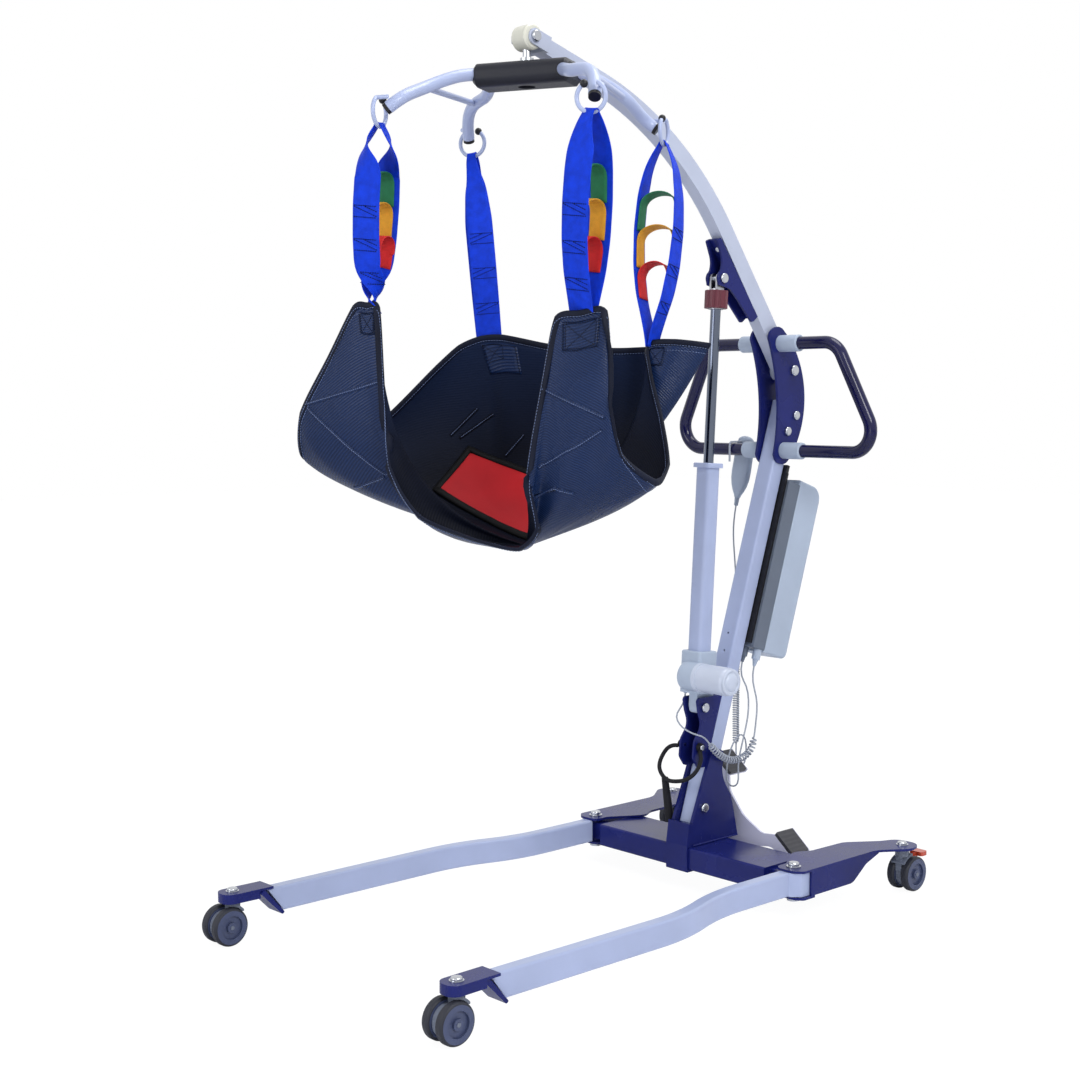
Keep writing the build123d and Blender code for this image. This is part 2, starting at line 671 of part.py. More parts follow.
def rod_bracket():
    """Channel bolted under the arm; its cheeks carry the rod's pin."""
    lower = arm_side(-arm_deep_low / 2 - 0.2, -arm_deep_tip / 2 - 0.2)
    rise = math.radians(arm_rise)
    away = (-math.cos(rise), math.sin(rise))
    down = (-math.sin(rise), -math.cos(rise))

    def under(along, drop):
        return (lower[0][0] + along * away[0] + drop * down[0],
                lower[0][1] + along * away[1] + drop * down[1])

    web = side_plate([under(184, 0.9), under(388, 4.4), under(388, 9.4), under(184, 5.9)], -17, 17)
    cheek = [under(184, 0.9), under(388, 4.4), (*under(391, 16), 4), (74, 1352, 40), (70, 1333, 10),
             (59, 1316), (62, 1300), (99, 1292, 20), (122, 1272, 40), (*under(184, 24), 6)]
    near = side_plate(cheek, 13, 18) + x_pin(*rod_pin, 13, 18, 17)
    bracket = web + near + mirror_x(near)
    for along in (208, 364):
        a, b = under(along, -2), under(along, 14)
        bracket -= rod((0, *a), (0, *b), 3.0 + gap_fit)
    return bracket - x_pin(*rod_pin, -20, 20, pin_r)


def boom_bolts():
    lower = arm_side(-arm_deep_low / 2 - 0.2, -arm_deep_tip / 2 - 0.2)
    rise = math.radians(arm_rise)
    away = (-math.cos(rise), math.sin(rise))
    down = (-math.sin(rise), -math.cos(rise))
    bolts = []
    for along, drop in ((208, 6.5), (364, 9.2)):
        y = lower[0][0] + along * away[0] + drop * down[0]
        z = lower[0][1] + along * away[1] + drop * down[1]
        top = (0, y - 5.2 * down[0], z - 5.2 * down[1])
        bolts.append(rod(top, (0, y, z), 2.95) + dome_head((0, y, z), (0, *down), 6, 4))
    half = 18
    pin = x_pin(*rod_pin, -half - 2, half + 2, pin_r - gap_fit)
    pin += dome_head((half + 0.2, *rod_pin), (1, 0, 0), 11, 6)
    pin += dome_head((-half - 0.2, *rod_pin), (-1, 0, 0), 11, 6)
    ear = block_half + 4.5
    tip = x_pin(*hang_pin, -ear - 2, ear + 2, 8.0)
    tip += dome_head((ear + 0.2, *hang_pin), (1, 0, 0), 11, 7)
    tip += hex_head((-ear - 0.2, *hang_pin), (-1, 0, 0), 21, 8)
    return [*bolts, pin, tip]


# ---------------------------------------------------------------- actuator
rod_span = math.hypot(rod_pin[0] - foot_pin[0], rod_pin[1] - foot_pin[1])
rod_lean = math.degrees(math.atan2(rod_pin[0] - foot_pin[0], rod_pin[1] - foot_pin[1]))
actuator_at = Location((0, *foot_pin), (-rod_lean, 0, 0))


def actuator_rod():
    start = case_end - 118
    top = rod_span - 64
    return actuator_at * rod((0, 0, start), (0, 0, top), rod_r)


def rod_fork():
    base = rod((0, 0, rod_span - 64), (0, 0, rod_span - 22), 12.5)
    collar = rod((0, 0, rod_span - 66), (0, 0, rod_span - 63.9), 16)
    prong = [(-11, rod_span - 24), (11, rod_span - 24), (12, rod_span), (12, rod_span + 12, 11.9),
             (-12, rod_span + 12, 11.9), (-12, rod_span)]
    fork = base
    for side in (-1, 1):
        fork += side_plate(prong, *sorted((side * 6, side * 11)))
    fork -= x_pin(0, rod_span, -20, 20, pin_r)
    fork += collar - rod((0, 0, rod_span - 70), (0, 0, rod_span - 64), rod_r + 0.02)
    return actuator_at * fork


def release_collar():
    """Fluted turning collar below the fork."""
    low = rod_span - 63.8
    collar = rod((0, 0, low), (0, 0, low + spin_collar_tall), spin_collar_r)
    for k in range(12):
        turn = math.radians(30 * k)
        x, y = spin_collar_r * math.cos(turn), spin_collar_r * math.sin(turn)
        collar -= rod((1.06 * x, 1.06 * y, low - 1), (1.06 * x, 1.06 * y, low + 50), 3.2)
    collar -= rod((0, 0, low - 1), (0, 0, low + 50), 12.5 + gap_fit)
    return actuator_at * collar


def actuator_tube():
    tall = case_end - gear_high
    tube = extrude(Plane.XY.offset(gear_high) * RectangleRounded(2 * case_half, 2 * case_half, 10),
                   tall)
    cap = extrude(Plane.XY.offset(case_end - 10) * RectangleRounded(52, 52, 12), 10)
    tube += chamfer(cap.edges().group_by(Axis.Z)[-1], 1.5)
    tube -= rod((0, 0, gear_high - 1), (0, 0, case_end - 12), 16.5)
    tube -= rod((0, 0, gear_high - 1), (0, 0, case_end + 1), rod_r + rod_bore_gap)
    return actuator_at * tube


def gear_housing():
    case = block((-gear_half, -gear_half, gear_low), (gear_half, gear_half, gear_high))
    case = fillet(case.edges().filter_by(Axis.Z), 8)
    case = fillet(case.edges().group_by(Axis.Z)[-1], 4)
    nose = x_pin(motor_front, motor_up, -14, gear_half, motor_r)
    case += fillet(nose.edges().sort_by(Axis.X)[0], 8)
    lug = [(-13, gear_low + 2), (-13, 2, 12), (-9, -13, 12), (slot_back + 6, -slot_drop - 12, 10),
           (slot_back + 12, 0, 10), (slot_back + 9, gear_low + 2)]
    case += side_plate(lug, -12, 12)
    radius = pin_r + 0.15
    stops = ((0, 0), (9.1, 3.4), (16.4, 5.6), (22.2, 6.8), (25.9, 7.2), (28.2, 6.9), (28.4, 5.8),
             (26.6, 4.6), (22.9, 3.3), (17.2, 1.9), (9.6, 0.6))
    slot = make_hull([edge for back, drop in stops for edge in (Pos(back, -drop) * Circle(radius)).edges()])
    case -= extrude(Plane.YZ.offset(-14) * slot, 28)
    case += rod((-25.5, -11, gear_low - 5), (-25.5, -11, gear_low + 1), 3.4)
    return actuator_at * case


def motor():
    start = gear_half + 0.1
    body = x_pin(motor_front, motor_up, start, start + motor_long, motor_r - 1.5)
    body = fillet(body.edges().sort_by(Axis.X)[-1], 12)
    ring = x_pin(motor_front, motor_up, start, start + 10, motor_r)
    return actuator_at * (body + ring)


# ---------------------------------------------------------------- hanger
hanger_at = Location((0, hang_pin[0], 0), (0, 0, hanger_turn))


def swivel_block():
    """Nylon barrel on the arm's tip, with the stud of the swivel below."""
    y, z = hang_pin
    barrel = x_pin(y, z, -block_half, block_half, block_r)
    barrel = chamfer(barrel.edges().filter_by(GeomType.CIRCLE), 3)
    barrel -= x_pin(y, z, -block_half - 1, block_half + 1, 8.0 + gap_fit)
    return barrel - rod((0, y, z - 40), (0, y, z - 11), 8.0)


def swivel_stem():
    y, z = hang_pin
    stem = rod((0, y, cover_low + 4), (0, y, z - 11.5), 8.0)
    nut = extrude(Pos(0, y, cover_low + 4) * RegularPolygon(14, 6), 9)
    collar = rod((0, y, cover_top + 1), (0, y, cover_top + 9), 13)
    return stem + nut + collar


def arm_points(which):
    """Centre line of one hanger arm, hub to tip, in the hanger's own directions."""
    tip = hook_z + 7
    if which == 0:
        return [(50, 0, arm_z), (110, 50, arm_z - 7), (160, 132, arm_z - 43), (192, hook_q, tip)]
    return [(40, 0, arm_z), (72, -16, arm_z - 2), (128, -98, arm_z - 22), (hook_p, -192, tip)]


def arm_spline(which, side):
    points = [(side * x, side * y, z) for x, y, z in arm_points(which)]
    if which == 0:
        ends = [(side, 0, 0), (side * 0.8, side * 0.15, -0.6)]
    else:
        ends = [(side, 0, 0), (side * 0.15, -side * 0.6, -0.8)]
    return Spline(*points, tangents=ends)


def hanger_arm(which, side, radius):
    path = arm_spline(which, side)
    return sweep(Plane(origin=path @ 0, z_dir=path % 0) * Circle(radius), path=path)


def spreader_frame():
    """Hub and four bent arms of the hanger, welded into one."""
    hub_low = cover_low + 18
    hub = block((-56, -29, hub_low), (56, 29, cover_top - 6))
    hub = fillet(hub.edges().filter_by(Axis.Z), 10)
    for side in (-1, 1):
        for which in (0, 1):
            hub += hanger_arm(which, side, tube_r)
        a, b = arm_spline(0, side) @ 0.62, arm_spline(1, side) @ 0.66
        hub += rod(a, b, 6)
    hub -= rod((0, 0, cover_low), (0, 0, cover_top), 8.0 + gap_fit)
    hub -= rod((0, 0, cover_low), (0, 0, hub_low), 15)
    return hanger_at * hub


def spreader_cover():
    """Moulded shell over the hub, open where the arms and the stud pass."""
    shell = block((-98, -44, cover_low), (98, 44, cover_top))
    shell = fillet(shell.edges().filter_by(Axis.X), 18)
    shell = chamfer(shell.edges().group_by(Axis.X)[-1] + shell.edges().group_by(Axis.X)[0], 8)
    inner = block((-92, -40, cover_low + 4), (92, 40, cover_top - 4))
    inner = fillet(inner.edges().filter_by(Axis.X), 14)
    shell -= chamfer(inner.edges().group_by(Axis.X)[-1] + inner.edges().group_by(Axis.X)[0], 6)
    for side in (-1, 1):
        for which in (0, 1):
            shell -= hanger_arm(which, side, tube_r + 0.3)
    shell -= rod((0, 0, cover_low - 1), (0, 0, cover_top + 1), 17)
    return hanger_at * shell


def end_plugs():
    plugs = []
    for side in (-1, 1):
        for which in (0, 1):
            path = arm_spline(which, side)
            end, way = path @ 1, path % 1
            start = end + way * 0.05
            plugs.append(hanger_at * rod(start, end + way * 7, tube_r - 0.6))
    return plugs


def hook_frame(which, side):
    """Plane of one hook ring: local X sideways, local Y up, Z away from the arm."""
    if which == 0:
        return Plane(origin=(side * (hook_p + 6), side * hook_q, hook_z), x_dir=(0, side, 0),
                     z_dir=(side, 0, 0))
    return Plane(origin=(side * hook_p, -side * (hook_q + 6), hook_z), x_dir=(side, 0, 0),
                 z_dir=(0, -side, 0))


def hooks():
    """Open safety rings: one leg back to the arm, one ball tip."""
    rings = []
    for side in (-1, 1):
        for which in (0, 1):
            frame = hook_frame(which, side)
            a, b = math.radians(62), math.radians(120)
            first = (ring_r * math.cos(a), ring_r * math.sin(a))
            last = (ring_r * math.cos(b), ring_r * math.sin(b))
            arc = ThreePointArc(frame.from_local_coords((*first, 0)),
                                frame.from_local_coords((0, -ring_r, 0)),
                                frame.from_local_coords((*last, 0)))
            wire = sweep(Plane(origin=arc @ 0, z_dir=arc % 0) * Circle(ring_wire), path=arc)
            tip = frame.from_local_coords((*last, 0))
            wire += Pos(*tip) * Sphere(6)
            root = frame.from_local_coords((*first, 0))
            back = frame.from_local_coords((*first, -24))
            wire += rod(root, back, ring_wire) + Pos(*root) * Sphere(ring_wire)
            wire -= hanger_arm(which, side, tube_r + 0.02)
            rings.append(hanger_at * wire.solids().sort_by(SortBy.VOLUME)[-1])
    return rings


# ---------------------------------------------------------------- sling and straps




def strap_ends():
    """(which, side) hook of each strap and the point where it meets the sling."""
    return (((0, -1), (-232, -182, 1243)), ((1, -1), (-152, 166, 1182)),
            ((1, 1), (172, -176, 1214)), ((0, 1), (209, 166, 1170)))


def strap_frame(hook, low):
    frame = hook_frame(*hook)
    top = frame.from_local_coords((0, -ring_r, 0))
    low = Vector(*low)
    run = low - top
    wide = frame.x_dir
    across = run.cross(wide).normalized()
    return Plane(origin=top, x_dir=across, z_dir=across.cross(run)), run.length


def sling_strap(hook, low):
    """Webbing loop over the hook, its two legs meeting at the sling."""
    frame, long = strap_frame(hook, low)
    long -= 0.4
    outer = outline([(-8.4, -8.4, 7), (-44, 0.44 * long, 160), (-3.4, long), (3.4, long),
                     (44, 0.44 * long, 160), (8.4, -8.4, 7)])
    inner = outline([(-5, -5, 4), (-40.6, 0.44 * long, 160), (-1.0, 0.93 * long), (1.0, 0.93 * long),
                     (40.6, 0.44 * long, 160), (5, -5, 4)])
    loop = extrude(frame * (outer - inner), 22, both=True)
    side = Plane(origin=frame.origin, x_dir=frame.z_dir, z_dir=-frame.x_dir)
    taper = outline([(-11, -12), (-12, 14, 20), (-22, 90, 40), (-22, long + 1), (22, long + 1),
                     (22, 90, 40), (12, 14, 20), (11, -12)])
    loop &= extrude(side * taper, 60, both=True)
    ring = hook_frame(*hook)
    wire = ring * (Torus(ring_r, ring_wire + 0.35))
    return hanger_at * (loop - wire)


def strap_room(y, long):
    """Half the room between the strap's two legs, at y below the ring."""
    wide, low = 0.44 * long, 0.93 * long
    if y < wide:
        return 5 + 35.6 * (y + 5) / (wide + 5)
    return 40.6 - 39.6 * (y - wide) / (low - wide)


def strap_rungs(hook, low):
    """Shorter loops sewn inside the strap, one above the other."""
    frame, long = strap_frame(hook, low)
    rungs = []
    for share, gap in ((0.28, -0.2), (0.47, 0.7), (0.64, 0.7)):
        y = share * long
        half = min(strap_room(y + 26, long - 0.4), strap_room(y, long - 0.4) + 3) - gap
        arch = [(-half, y + 26), (-half + 3, y, 10), (half - 3, y, 10), (half, y + 26),
                (half - 3, y + 26), (half - 6, y + 3, 7), (-half + 6, y + 3, 7), (-half + 3, y + 26)]
        rungs.append(hanger_at * extrude(frame * outline(arch), 14, both=True))
    return rungs


sling_t = 6.0
sling_floor = (10.0, -30.0, 772.0)
# Rim of the sling, anticlockwise from the front: edge point, then the wall's pull point
sling_rim = (
    ((-30, -168, 790), (-20, -120, 768)), ((52, -176, 812), (50, -130, 768)),
    ((64, -186, 945), (72, -190, 800)), ((118, -184, 1200), (110, -220, 830)),
    ((172, -176, 1213.4), (190, -230, 840)), ((224, -168, 1196), (240, -210, 860)),
    ((272, -120, 1040), (330, -150, 880)), ((318, -60, 948), (340, -80, 880)),
    ((330, 40, 1020), (340, 30, 880)), ((322, 150, 1160), (330, 130, 880)),
    ((209, 166, 1169.4), (230, 210, 850)), ((90, 158, 1158), (90, 220, 800)),
    ((-31, 152, 1152), (-30, 220, 790)), ((-152, 166, 1181.4), (-170, 210, 810)),
    ((-236, 110, 1120), (-280, 160, 840)), ((-318, 30, 1010), (-370, 60, 870)),
    ((-400, -60, 962), (-400, -40, 890)), ((-372, -140, 1040), (-420, -150, 900)),
    ((-286, -176, 1226), (-330, -200, 880)), ((-232, -182, 1242.4), (-250, -220, 860)),
    ((-206, -184, 1200), (-215, -200, 850)), ((-196, -176, 960), (-190, -180, 820)),
    ((-150, -170, 838), (-120, -130, 780)))


def sling_point(k, t):
    """Quadratic curve from the floor to the rim."""
    edge, pull = sling_rim[k]
    return Vector(*[(1 - t) ** 2 * f + 2 * t * (1 - t) * p + t * t * e
                    for f, p, e in zip(sling_floor, pull, edge)])


def sling():
    """Seat and back as one deep cloth shell with two raised leg flaps."""
    count, rows = len(sling_rim), (0.35, 0.62, 0.84, 1.0)
    middle = Vector(*sling_floor)
    skins = []
    for inward in (0.0, sling_t):
        skin = []
        for r, t in enumerate(rows):
            ring = []
            for k in range(count):
                here = sling_point(k, t)
                along = sling_point((k + 1) % count, t) - sling_point(k - 1, t)
                rise = sling_point(k, min(1.0, t + 0.1)) - sling_point(k, t - 0.1)
                normal = along.cross(rise).normalized()
                ring.append(here - normal * inward)
            skin.append(ring)
        skins.append((middle + Vector(0, 0, inward), skin))
    faces = []

    def tri(a, b, c):
        faces.append(make_face(Polyline(a, b, c, close=True)))

    for low, skin in skins:
        for k in range(count):
            n = (k + 1) % count
            tri(low, skin[0][k], skin[0][n])
            for r in range(len(rows) - 1):
                tri(skin[r][k], skin[r + 1][k], skin[r + 1][n])
                tri(skin[r][k], skin[r + 1][n], skin[r][n])
    rim_out, rim_in = skins[0][1][-1], skins[1][1][-1]
    for k in range(count):
        n = (k + 1) % count
        tri(rim_out[k], rim_in[k], rim_in[n])
        tri(rim_out[k], rim_in[n], rim_out[n])
    return hanger_at * Solid(Shell(faces))


# ---------------------------------------------------------------- cords
def cord(points, radii, radius):
    return bent_tube(points, radii, radius)


def route_radii(points):
    """Arc radius at each inner point: 0.45 of its shorter run over tan(turn / 2)."""
    radii = []
    for a, b, c in zip(points, points[1:], points[2:]):
        first, second = Vector(*b) - Vector(*a), Vector(*c) - Vector(*b)
        turn = math.radians(first.get_angle(second))
        radii.append(0.45 * min(first.length, second.length) / math.tan(turn / 2))
    return radii


# Routes in millimetres; thin lead, curly middle, thin lead
motor_lead_r, handset_lead_r, curl_r = 2.5, 2.5, 8.5
motor_lead_a = [(-25.5, 12.48, 417.65), (-25.5, 11.37, 398.7), (-20, -26, 376), (10, -42, 358),
                (37, -32, 344), (46, -6, 336), (46, 13, 317)]
motor_curl_route = [(46, 13, 317), (46, 37, 293), (46, 78, 270), (46, 122, 270), (46, 153, 286),
                    (46, 160, 313)]
motor_lead_b = [(46, 160, 313), (46, 165.5, 343.25), (42, 176, 390),
                plug_below(*motor_plug), plug_end(*motor_plug)]
handset_lead_a = [(-139.65, 306, 809.5), (-145.37, 306, 780.05), (-143, 301, 735), (-118, 284, 650),
                  (-84, 246, 560), (-66, 227, 500), (-64, 225, 465)]
handset_curl_route = [(-64, 225, 465), (-61, 222, 412.5), (-62, 223, 330), (-61, 223.5, 271)]
handset_lead_b = [(-61, 223.5, 271), (-60.4, 223.8, 235.6), (-41.5, 218, 224), (-22, 212, 236),
                  (-13, 204, 290), (-5, 176, 312), (0, 146, 300), (0, 124, 262), (0, 120, 212),
                  (19, 119, 201), (38, 120, 212), (32, 122, 258), (30, 142, 308), (22, 170, 362),
                  (12, 178, 415), plug_below(*handset_plug), plug_end(*handset_plug)]


def lead(points, radius):
    radii = route_radii(points)
    print("cord radii", [round(r) for r in radii])
    return bent_tube(points, radii, radius)


# ---------------------------------------------------------------- writing
def leg_parts(side):
    """Left leg as built, right leg mirrored."""
    def place(shape):
        return shape if side > 0 else mirror_x(shape)

    name = "left" if side > 0 else "right"
    save(f"leg_tube_{name}", place(leg_tube()))
    save(f"leg_bracket_{name}", place(rear_bracket()), place(toe_bracket()))
    save(f"caster_bolts_{name}", place(caster_bolt(*front_caster)), place(caster_bolt(*rear_caster)))
    for end, (x, y), way in (("front", front_caster, -1), ("rear", rear_caster, 1)):
        brake = end == "rear"
        save(f"caster_{end}_{name}", place(caster_body(x, y, way, brake)))
        save(f"wheels_{end}_{name}", *[place(s) for s in wheel_pair(x, y, way)])
        if brake:
            save(f"brake_pedal_{name}", place(brake_pedal(x, y, way)))


save("cross_beam", cross_beam())
save("leg_pivot_bolts", *leg_pivot_bolts())
save("mast_socket", mast_socket())
save("mast_tube", mast_tube())
save("frame_bolts", *frame_bolts(), *bail_bolts())
save("head_plates", *head_plates())
save("push_handles", push_handle(), mirror_x(push_handle()))
save("handle_collars", *handle_collars())
save("actuator_mount", actuator_mount())
save("control_rail", control_rail())
save("control_box", control_box())
save("battery_pack", battery_pack())
save("stop_button", stop_button())
motor_end, handset_end = plugs()
save("motor_plug", motor_end)
save("handset_plug", handset_end)
save("handset_body", handset() + handset_hook())
up_button, down_button = handset_buttons()
save("handset_up_button", up_button)
save("handset_down_button", down_button)
print("stage base")
leg_parts(1)
leg_parts(-1)
print("stage legs")
save("rocker_plate", rocker_plate())
save("rocker_pads", *rocker_pads())
save("lock_bail", lock_bail())
save("boom_tube", boom_tube())
save("rod_bracket", rod_bracket())
save("boom_bolts", *boom_bolts())
save("actuator_rod", actuator_rod())
save("rod_fork", rod_fork())
save("release_collar", release_collar())
save("actuator_tube", actuator_tube())
save("gear_housing", gear_housing())
save("motor", motor())
print("stage arm")
save("swivel_block", swivel_block())
save("swivel_stem", swivel_stem())
save("spreader_frame", spreader_frame())
save("spreader_cover", spreader_cover())
save("end_plugs", *end_plugs())
save("hooks", *hooks())
save("sling_straps", *[sling_strap(*pair) for pair in strap_ends()])
save("sling_loops", *[rung for pair in strap_ends() for rung in strap_rungs(*pair)])
save("sling", sling())
print("stage hanger")
save("motor_cord", lead(motor_lead_a, motor_lead_r), lead(motor_lead_b, motor_lead_r))
save("motor_cord_curl", lead(motor_curl_route, curl_r))
save("handset_cord", lead(handset_lead_a, handset_lead_r), lead(handset_lead_b, handset_lead_r))
save("handset_cord_curl", lead(handset_curl_route, curl_r - 0.5))
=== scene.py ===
import math
import bmesh
import bpy
import numpy as np
from mathutils import Matrix, Vector
from mathutils.bvhtree import BVHTree


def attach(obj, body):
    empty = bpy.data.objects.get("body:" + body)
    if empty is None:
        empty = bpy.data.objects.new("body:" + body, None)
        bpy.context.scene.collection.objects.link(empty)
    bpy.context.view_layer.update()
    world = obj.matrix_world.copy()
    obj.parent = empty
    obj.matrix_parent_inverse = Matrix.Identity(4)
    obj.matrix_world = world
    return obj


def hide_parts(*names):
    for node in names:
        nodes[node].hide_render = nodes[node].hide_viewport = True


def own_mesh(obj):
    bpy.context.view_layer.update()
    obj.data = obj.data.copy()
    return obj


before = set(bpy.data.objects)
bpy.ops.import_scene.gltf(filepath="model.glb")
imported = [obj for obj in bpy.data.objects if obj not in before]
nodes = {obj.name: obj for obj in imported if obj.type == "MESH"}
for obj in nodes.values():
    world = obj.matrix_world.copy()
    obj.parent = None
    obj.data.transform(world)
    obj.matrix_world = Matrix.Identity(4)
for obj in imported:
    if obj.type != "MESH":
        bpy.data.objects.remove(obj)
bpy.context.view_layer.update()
print("frame loaded")


def newMaterial(name):
    mat = bpy.data.materials.new(name)
    mat.use_nodes = True
    tree = mat.node_tree
    return mat, tree, tree.nodes["Principled BSDF"]


def addNode(tree, kind, links=(), **values):
    node = tree.nodes.new(kind)
    for key, value in values.items():
        if key.startswith("in_"):
            node.inputs[key[3:].replace("_", " ")].default_value = value
        else:
            setattr(node, key, value)
    for socket, source in links:
        tree.links.new(source, node.inputs[socket])
    return node


# Values of a map range spread from low to high
def spread(tree, value, low, high, start=0.0, stop=1.0):
    node = addNode(tree, "ShaderNodeMapRange", [("Value", value)])
    node.inputs["From Min"].default_value = start
    node.inputs["From Max"].default_value = stop
    node.inputs["To Min"].default_value = low
    node.inputs["To Max"].default_value = high
    return node.outputs["Result"]


def rampColor(tree, fac, stops):
    ramp = addNode(tree, "ShaderNodeValToRGB", [("Fac", fac)])
    for element, (position, color) in zip(ramp.color_ramp.elements, stops):
        element.position = position
        element.color = (*color, 1)
    return ramp.outputs["Color"]


def mixColor(tree, fac, low, high):
    mix = addNode(tree, "ShaderNodeMix", [("Factor", fac)], data_type="RGBA")
    mix.inputs["A"].default_value = (*low, 1)
    mix.inputs["B"].default_value = (*high, 1)
    return mix.outputs["Result"]


def noiseFac(tree, coords, scale, detail):
    node = addNode(tree, "ShaderNodeTexNoise", [("Vector", coords)], in_Scale=scale, in_Detail=detail)
    return node.outputs["Fac"]


def bumpOn(tree, bsdf, height, strength, distance):
    node = addNode(tree, "ShaderNodeBump", [("Height", height)], in_Strength=strength, in_Distance=distance)
    tree.links.new(node.outputs["Normal"], bsdf.inputs["Normal"])


# Painted or moulded finish: uneven colour and roughness over a fine bump
def surface(name, color, rough=0.4, metal=0.0, coat=0.0, grain=900.0, bump=0.05, vary=0.12,
            roughVary=0.1, sheen=0.0, spec=0.5):
    mat, tree, bsdf = newMaterial(name)
    coords = addNode(tree, "ShaderNodeTexCoord").outputs["Object"]
    large = noiseFac(tree, coords, 9.0, 5.0)
    low = [c * (1 - vary) for c in color]
    high = [min(1.0, c * (1 + vary)) for c in color]
    tree.links.new(rampColor(tree, large, [(0.3, low), (0.7, high)]), bsdf.inputs["Base Color"])
    uneven = spread(tree, large, max(0.02, rough - roughVary), min(1.0, rough + roughVary))
    tree.links.new(uneven, bsdf.inputs["Roughness"])
    bumpOn(tree, bsdf, noiseFac(tree, coords, grain, 2.0), bump, 0.0006)
    bsdf.inputs["Metallic"].default_value = metal
    bsdf.inputs["Coat Weight"].default_value = coat
    bsdf.inputs["Coat Roughness"].default_value = 0.08
    bsdf.inputs["Sheen Weight"].default_value = sheen
    bsdf.inputs["Specular IOR Level"].default_value = spec
    return mat


# Herringbone-woven band; UV is metres across and along
def webbing(name, color, dark=0.55):
    pitch = 0.0022
    mat, tree, bsdf = newMaterial(name)
    uv = addNode(tree, "ShaderNodeUVMap").outputs["UV"]
    parts = addNode(tree, "ShaderNodeSeparateXYZ", [("Vector", uv)])

    def combine(operation, a, b=None):
        node = tree.nodes.new("ShaderNodeMath")
        node.operation = operation
        for i, value in enumerate((a, b)):
            if isinstance(value, (int, float)):
                node.inputs[i].default_value = value
            elif value is not None:
                tree.links.new(value, node.inputs[i])
        return node.outputs[0]

    fold = combine("PINGPONG", parts.outputs["X"], pitch * 2)
    slant = combine("ADD", fold, parts.outputs["Y"])
    weave = combine("SINE", combine("MULTIPLY", slant, 2 * math.pi / pitch))
    cross = combine("SINE", combine("MULTIPLY", parts.outputs["X"], 2 * math.pi / (pitch * 0.9)))
    height = combine("ADD", combine("MULTIPLY", weave, 0.35), combine("MULTIPLY", cross, 0.25))
    worn = combine("MULTIPLY", noiseFac(tree, uv, 60.0, 4.0), 0.8)
    mixed = combine("ADD", combine("ADD", combine("MULTIPLY", height, 0.6), worn), 0.15)
    # Colour: painted shade makes the weave's low parts darker, and the worn noise adds random darker patches
    shade = rampColor(tree, mixed, [(0.15, [c * dark for c in color]), (0.85, color)])
    tree.links.new(shade, bsdf.inputs["Base Color"])
    bumpOn(tree, bsdf, height, 0.5, 0.0005)
    bsdf.inputs["Roughness"].default_value = 0.55
    bsdf.inputs["Specular IOR Level"].default_value = 0.15
    return mat


# Coated sling nylon with fine ribs; UV is metres, ribs run across V
def ribbedCloth(name, color, light, ribs):
    mat, tree, bsdf = newMaterial(name)
    uv = addNode(tree, "ShaderNodeUVMap").outputs["UV"]
    coords = addNode(tree, "ShaderNodeTexCoord").outputs["Object"]
    slant = addNode(tree, "ShaderNodeMapping", [("Vector", uv)])
    slant.inputs["Rotation"].default_value = (0, 0, ribs["slant"])
    wave = addNode(tree, "ShaderNodeTexWave", [("Vector", slant.outputs["Vector"])],
                   in_Scale=0.314 / ribs["pitch"], in_Distortion=0.5, in_Detail=2.0, in_Detail_Scale=3.0)
    wave.bands_direction = "Y"
    weft = noiseFac(tree, uv, 700.0, 2.0)
    blotch = noiseFac(tree, coords, 6.0, 5.0)
    both = [(0, wave.outputs["Fac"]), (1, weft)]
    fleck = addNode(tree, "ShaderNodeMath", both, operation="MULTIPLY")
    mixed = mixColor(tree, fleck.outputs[0], color, light)
    shade = addNode(tree, "ShaderNodeMix", [("A", mixed), ("B", spread(tree, blotch, 0.65, 1.3))],
                    data_type="RGBA", blend_type="MULTIPLY", in_Factor=1.0)
    if "rim" in ribs:               # painted shade: darker down in the bowl, lighter towards the rim; V grows from the floor up
        climb = addNode(tree, "ShaderNodeSeparateXYZ", [("Vector", uv)])
        height = spread(tree, climb.outputs["Y"], 0.0, 1.0, *ribs["rim"])
        bowlShade = addNode(tree, "ShaderNodeMix", [("Factor", height), ("A", shade.outputs["Result"])],
                        data_type="RGBA")
        bowlShade.inputs["B"].default_value = (*ribs["pale"], 1)
        shade = bowlShade
    tree.links.new(shade.outputs["Result"], bsdf.inputs["Base Color"])
    height = addNode(tree, "ShaderNodeMath", both, operation="ADD")
    bumpOn(tree, bsdf, height.outputs[0], ribs["bump"], 0.0009)
    gloss = spread(tree, blotch, ribs["rough"] - 0.07, ribs["rough"] + 0.09)
    tree.links.new(gloss, bsdf.inputs["Roughness"])
    bsdf.inputs["Specular IOR Level"].default_value = ribs["gloss"]
    return mat


# Moulded rubber with fine parallel grooves along X
def grooved(name, color, dark, pitch):
    mat, tree, bsdf = newMaterial(name)
    coords = addNode(tree, "ShaderNodeTexCoord").outputs["Object"]
    wave = addNode(tree, "ShaderNodeTexWave", [("Vector", coords)], in_Scale=1 / (pitch * 3.18))
    wave.bands_direction = "X"
    tree.links.new(mixColor(tree, noiseFac(tree, coords, 30.0, 4.0), dark, color), bsdf.inputs["Base Color"])
    bumpOn(tree, bsdf, wave.outputs["Fac"], 0.5, 0.0008)
    bsdf.inputs["Roughness"].default_value = 0.5
    return mat


